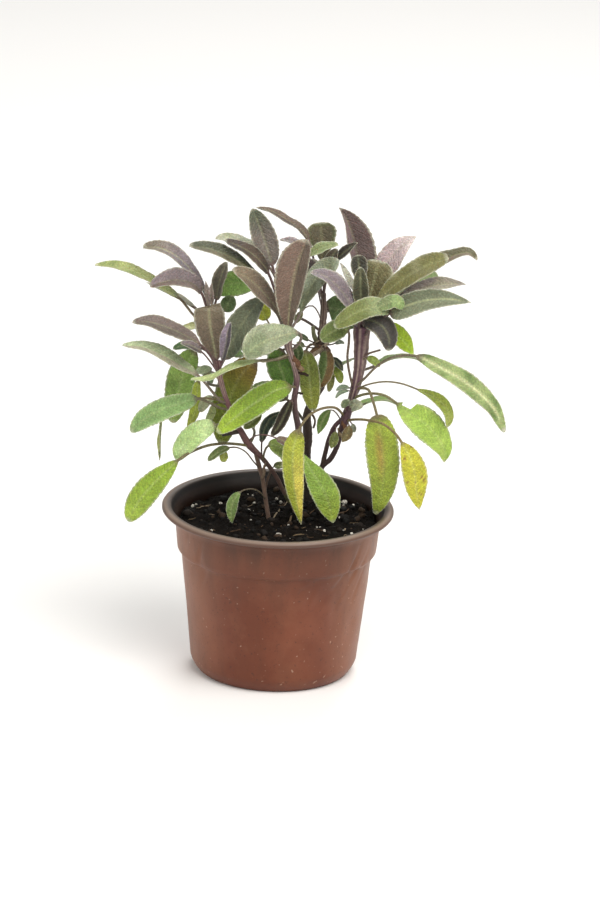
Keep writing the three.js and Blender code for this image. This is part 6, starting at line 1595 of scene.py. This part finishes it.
def on_soil(across, height, clod):
    """The place on the soil that a line of sight through [across, height] meets."""
    depth = 0.0
    for _ in range(6):
        depth = (height - soil_height(across, depth, clod)) / math.tan(SIGHT_ANGLE)
    return across, depth


def strewn(radius, rng):
    """A random place on a disc, equally likely everywhere."""
    angle, reach = rng.uniform(0, 2 * math.pi), radius * math.sqrt(rng.random())
    return reach * math.cos(angle), reach * math.sin(angle)


def add_lump(vertices, faces, middle, size, flatness, rng):
    """A small angular lump with its own random bumps."""
    lump = bmesh.new()
    bmesh.ops.create_icosphere(lump, subdivisions=2, radius=1.0)
    offset = Vector((rng.uniform(0, 50), rng.uniform(0, 50), rng.uniform(0, 50)))
    turn = rng.uniform(0, 2 * math.pi)
    first = len(vertices)
    for corner in lump.verts:
        reach = 1 + 0.45 * noise.noise(corner.co * 1.4 + offset)
        reach += 0.2 * noise.noise(corner.co * 3.5 + offset)
        spot = corner.co * reach * size * 0.5
        x = spot.x * math.cos(turn) - spot.y * math.sin(turn) * 0.75
        y = spot.x * math.sin(turn) + spot.y * math.cos(turn) * 0.75
        vertices.append((middle + Vector((x, y, spot.z * flatness))) * MM)
    faces.extend(tuple(first + corner.index for corner in face.verts) for face in lump.faces)
    made = len(lump.verts)
    lump.free()
    return made


def straw_rings(x0, y0, x1, y1, width, lift, clod):
    """A flat strip between two places on the soil, thin at both ends, as rings of places."""
    ahead = Vector((x1 - x0, y1 - y0, 0)).normalized()
    aside = Vector((-ahead.y, ahead.x, 0))
    rings = []
    for step in range(STRAW_STEPS + 1):
        share = step / STRAW_STEPS
        x, y = x0 + (x1 - x0) * share, y0 + (y1 - y0) * share
        height = 0.4 * soil_height(x, y, clod) + 0.6 * (SOIL_LEVEL + lift) + 0.35
        half = width * 0.5 * (0.35 + 0.65 * math.sin(math.pi * (0.1 + 0.8 * share)))
        ring = []
        for k in range(STRAW_SIDES):
            round_place = on_circle(half, k, STRAW_SIDES)
            ring.append((Vector((x, y, height + 0.45 * round_place.y)) + aside * round_place.x) * MM)
        rings.append(ring)
    return rings


class SAGE_OT_litter(bpy.types.Operator):
    """Strews white grains, crumbs, straw and bark on the soil"""

    bl_idname = "sage.litter"
    bl_label = "Grains and straw"

    def execute(self, context):
        settings = context.scene.sage_soil
        rng = random.Random(settings.seed)
        self.grains(settings.clod, rng)
        self.bits(settings.clod, rng)
        return {"FINISHED"}

    def grains(self, clod, rng):
        vertices, faces = [], []
        spots = [(*on_soil(across, height, clod), size) for across, height, size in GRAINS]
        for _ in range(LOOSE_GRAINS):
            spots.append((*strewn(LITTER_RADIUS, rng), 0.5 + 1.6 * rng.random() ** 2))
        for x, y, size in spots:
            inwards = min(LITTER_RADIUS / math.hypot(x, y), 1.0)
            x, y = x * inwards, y * inwards
            middle = Vector((x, y, soil_height(x, y, clod) + 0.15 * size))
            add_lump(vertices, faces, middle, size, 0.8, rng)
        piece = new_piece("perlite_grains", vertices, faces, "potting_soil", [], smooth=False)
        piece.data.materials.append(grain_material())

    def bits(self, clod, rng):
        """Straw and bark, which are left out past the litter's edge, and then crumbs."""
        vertices, faces, tones = [], [], []
        strips = []
        for x0, z0, x1, z1, width in STRAWS:
            strips.append((*on_soil(x0, z0, clod), *on_soil(x1, z1, clod), width))
        for _ in range(LOOSE_STRAWS):
            x, y = strewn(STRAW_RADIUS, rng)
            lie, length = rng.uniform(0, 2 * math.pi), rng.uniform(*STRAW_LENGTH)
            far_end = (x + length * math.cos(lie), y + length * math.sin(lie))
            strips.append((x, y, *far_end, rng.uniform(*STRAW_WIDTH)))
        for x0, y0, x1, y1, width in strips:
            if max(math.hypot(x0, y0), math.hypot(x1, y1)) > LITTER_RADIUS:
                continue
            close_rings(straw_rings(x0, y0, x1, y1, width, rng.uniform(0.1, 0.5), clod), vertices, faces)
            tones.extend([linear(rng.choice(STRAW_COLOURS))] * ((STRAW_STEPS + 1) * STRAW_SIDES))
        for _ in range(CRUMBS):
            x, y = strewn(LITTER_RADIUS, rng)
            size = 0.8 + 5.0 * rng.random() ** 3
            middle = Vector((x, y, soil_height(x, y, clod) + 0.1 * size))
            made = add_lump(vertices, faces, middle, size, 0.7, rng)
            tones.extend([linear(rng.choice(CRUMB_COLOURS))] * made)
        piece = new_piece("straw_and_bark", vertices, faces, "potting_soil", [])
        paint(piece, "tone", tones)
        piece.data.materials.append(litter_material())


# Stems and leaves

class SAGE_OT_stems(bpy.types.Operator):
    """Grows the woody stems"""

    bl_idname = "sage.stems"
    bl_label = "Stems"

    def execute(self, context):
        wood = stem_material()
        for node, stems in STEMS.items():
            vertices, faces, places, tones = [], [], [], []
            for i, stem in enumerate(stems):
                ribs_from = RIBS_FROM[node] if i == 0 else 1.0
                rings, spots, colours = stem_rings(*stem, ribs_from, ROUGHNESS[node], i * 3.7)
                close_rings(rings, vertices, faces)
                places.extend(spots)
                tones.extend(colours)
            piece = new_piece(node.replace("leafy_stem", "wood"), vertices, faces, node, [node])
            spread(piece, "along", places)
            paint(piece, "tone", tones)
            piece.data.materials.append(wood)
        return {"FINISHED"}


class SAGE_OT_leaves(bpy.types.Operator):
    """Grows the leaves on their stalks, the hairs along their rims, and the dead scraps at the knots"""

    bl_idname = "sage.leaves"
    bl_label = "Leaves"

    def execute(self, context):
        settings = context.scene.sage_leaf
        skin, hair, dead = leaf_material(settings), hair_material(), dead_leaf_material()
        rng = random.Random(settings.seed)
        for node, leaves in LEAVES.items():
            vertices, faces, places, tones = [], [], [], []
            hairs, hair_faces = [], []
            for index, row in enumerate(leaves):
                rings, spots, colours = Leaf(row, index).rings()
                close_rings(rings, vertices, faces)
                places.extend(spots)
                tones.extend(colours)
                leaf_hairs(rings, rng, hairs, hair_faces)
            piece = new_piece(node.replace("leafy_stem", "leaves"), vertices, faces, node, [node])
            spread(piece, "blade", places)
            paint(piece, "tone", tones)
            piece.data.materials.append(skin)
            name = node.replace("leafy_stem", "hairs")
            fringe = new_piece(name, hairs, hair_faces, node, [], smooth=False)
            fringe.data.materials.append(hair)
            self.scraps(node, dead)
        return {"FINISHED"}

    def scraps(self, node, material):
        vertices, faces, tones = [], [], []
        for seed, (start, end, width, colour) in enumerate(DRY_SCRAPS[node]):
            rings = scrap_rings(start, end, width, seed)
            close_rings(rings, vertices, faces)
            tones.extend([linear(colour)] * (len(rings) * len(rings[0])))
        piece = new_piece(node.replace("leafy_stem", "dry_scraps"), vertices, faces, node, [])
        paint(piece, "tone", tones)
        piece.data.materials.append(material)


# Stage

FLOOR_REACH = 6
# Soft round lights: [name, place, width, share of the key light's power, colour], and where they point
LIGHTS = [
    ("key_light", (0.6, -0.8, 1.4), 1.5, 1.0, (1.0, 0.98, 0.95)),
    ("fill_light", (-1.2, -1.0, 0.7), 1.4, 0.3, (1.0, 0.99, 0.97)),
    ("back_light", (0.2, 1.2, 1.5), 0.9, 0.5, (1.0, 1.0, 1.0)),
]
LIT_PLACE = Vector((0, 0, 0.14))
SKY_COLOUR = (1.0, 0.99, 0.97, 1.0)
SKY_STRENGTH = 0.45
SENSOR_HEIGHT = 36.0
FARTHEST_SEEN = 50.0


class SAGE_OT_stage(bpy.types.Operator):
    """Sets the floor, the soft lights and the camera of the photograph"""

    bl_idname = "sage.stage"
    bl_label = "Stage"

    def execute(self, context):
        settings = context.scene.sage_stage
        self.floor(context, settings)
        self.lights(context, settings)
        self.camera(context, settings)
        return {"FINISHED"}

    def floor(self, context, settings):
        corners = [(x * FLOOR_REACH, y * FLOOR_REACH, 0) for x, y in ((-1, -1), (1, -1), (1, 1), (-1, 1))]
        mesh = bpy.data.meshes.new("floor")
        mesh.from_pydata(corners, [], [(0, 1, 2, 3)])
        floor = bpy.data.objects.new("floor", mesh)
        context.scene.collection.objects.link(floor)
        floor.data.materials.append(backdrop_material(settings.floor_colour))

    def lights(self, context, settings):
        for name, place, width, share, colour in LIGHTS:
            light = bpy.data.lights.new(name, "AREA")
            light.shape = "DISK"
            light.size = width
            light.energy = settings.key_power * share
            light.color = colour
            lamp = bpy.data.objects.new(name, light)
            lamp.location = place
            lamp.rotation_euler = (LIT_PLACE - Vector(place)).to_track_quat("-Z", "Y").to_euler()
            context.scene.collection.objects.link(lamp)
        world = bpy.data.worlds.new("studio")
        world.use_nodes = True
        sky = world.node_tree.nodes["Background"]
        sky.inputs["Color"].default_value = SKY_COLOUR
        sky.inputs["Strength"].default_value = SKY_STRENGTH
        context.scene.world = world
        context.scene.view_settings.view_transform = "Standard"

    def camera(self, context, settings):
        """A long lens at the photograph's angle, aimed at the place that fills the photograph's middle."""
        right = PHOTO_WIDTH / 2 - BASE_PIXEL[0]
        up = BASE_PIXEL[1] - PHOTO_HEIGHT / 2
        scale = MM_PER_PIXEL * MM
        across = scale * (right * math.cos(PHOTO_LEAN) - up * math.sin(PHOTO_LEAN))
        height = scale * (right * math.sin(PHOTO_LEAN) + up * math.cos(PHOTO_LEAN)) / math.cos(SIGHT_ANGLE)
        target = Vector((across, 0.0, height))
        lens = bpy.data.cameras.new("photo_camera")
        lens.sensor_fit = "VERTICAL"
        lens.sensor_height = SENSOR_HEIGHT
        lens.lens = SENSOR_HEIGHT * settings.camera_gap / (PHOTO_HEIGHT * scale)
        lens.clip_end = FARTHEST_SEEN
        camera = bpy.data.objects.new("photo_camera", lens)
        camera.location = target + TO_VIEWER * settings.camera_gap
        facing = (-TO_VIEWER).to_track_quat("-Z", "Y").to_matrix().to_4x4()
        camera.rotation_euler = (facing @ Matrix.Rotation(PHOTO_LEAN, 4, "Z")).to_euler()
        context.scene.collection.objects.link(camera)
        context.scene.camera = camera


# Panel and registration

OPERATORS = (SAGE_OT_stage, SAGE_OT_pot, SAGE_OT_soil, SAGE_OT_litter, SAGE_OT_stems, SAGE_OT_leaves)
SETTINGS = {
    "sage_leaf": SageLeafSettings,
    "sage_pot": SagePotSettings,
    "sage_soil": SageSoilSettings,
    "sage_stage": SageStageSettings,
}


class SAGE_PT_panel(bpy.types.Panel):
    """Lists the settings and the steps of the potted sage"""

    bl_idname = "SAGE_PT_panel"
    bl_label = "Potted Sage"
    bl_space_type = "VIEW_3D"
    bl_region_type = "UI"
    bl_category = "Potted Sage"

    def draw(self, context):
        for name in SETTINGS:
            group = getattr(context.scene, name)
            for setting in group.bl_rna.properties:
                if not setting.is_readonly and setting.identifier != "name":
                    self.layout.prop(group, setting.identifier)
        for step in OPERATORS:
            self.layout.operator(step.bl_idname)


def register():
    for kind in (*SETTINGS.values(), *OPERATORS, SAGE_PT_panel):
        bpy.utils.register_class(kind)
    for name, kind in SETTINGS.items():
        setattr(bpy.types.Scene, name, bpy.props.PointerProperty(type=kind))


def unregister():
    for name in SETTINGS:
        delattr(bpy.types.Scene, name)
    for kind in (SAGE_PT_panel, *reversed(OPERATORS), *SETTINGS.values()):
        bpy.utils.unregister_class(kind)


def main():
    register()
    for step in OPERATORS:
        group, name = step.bl_idname.split(".")
        getattr(getattr(bpy.ops, group), name)()
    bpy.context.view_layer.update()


if __name__ == "__main__":
    main()
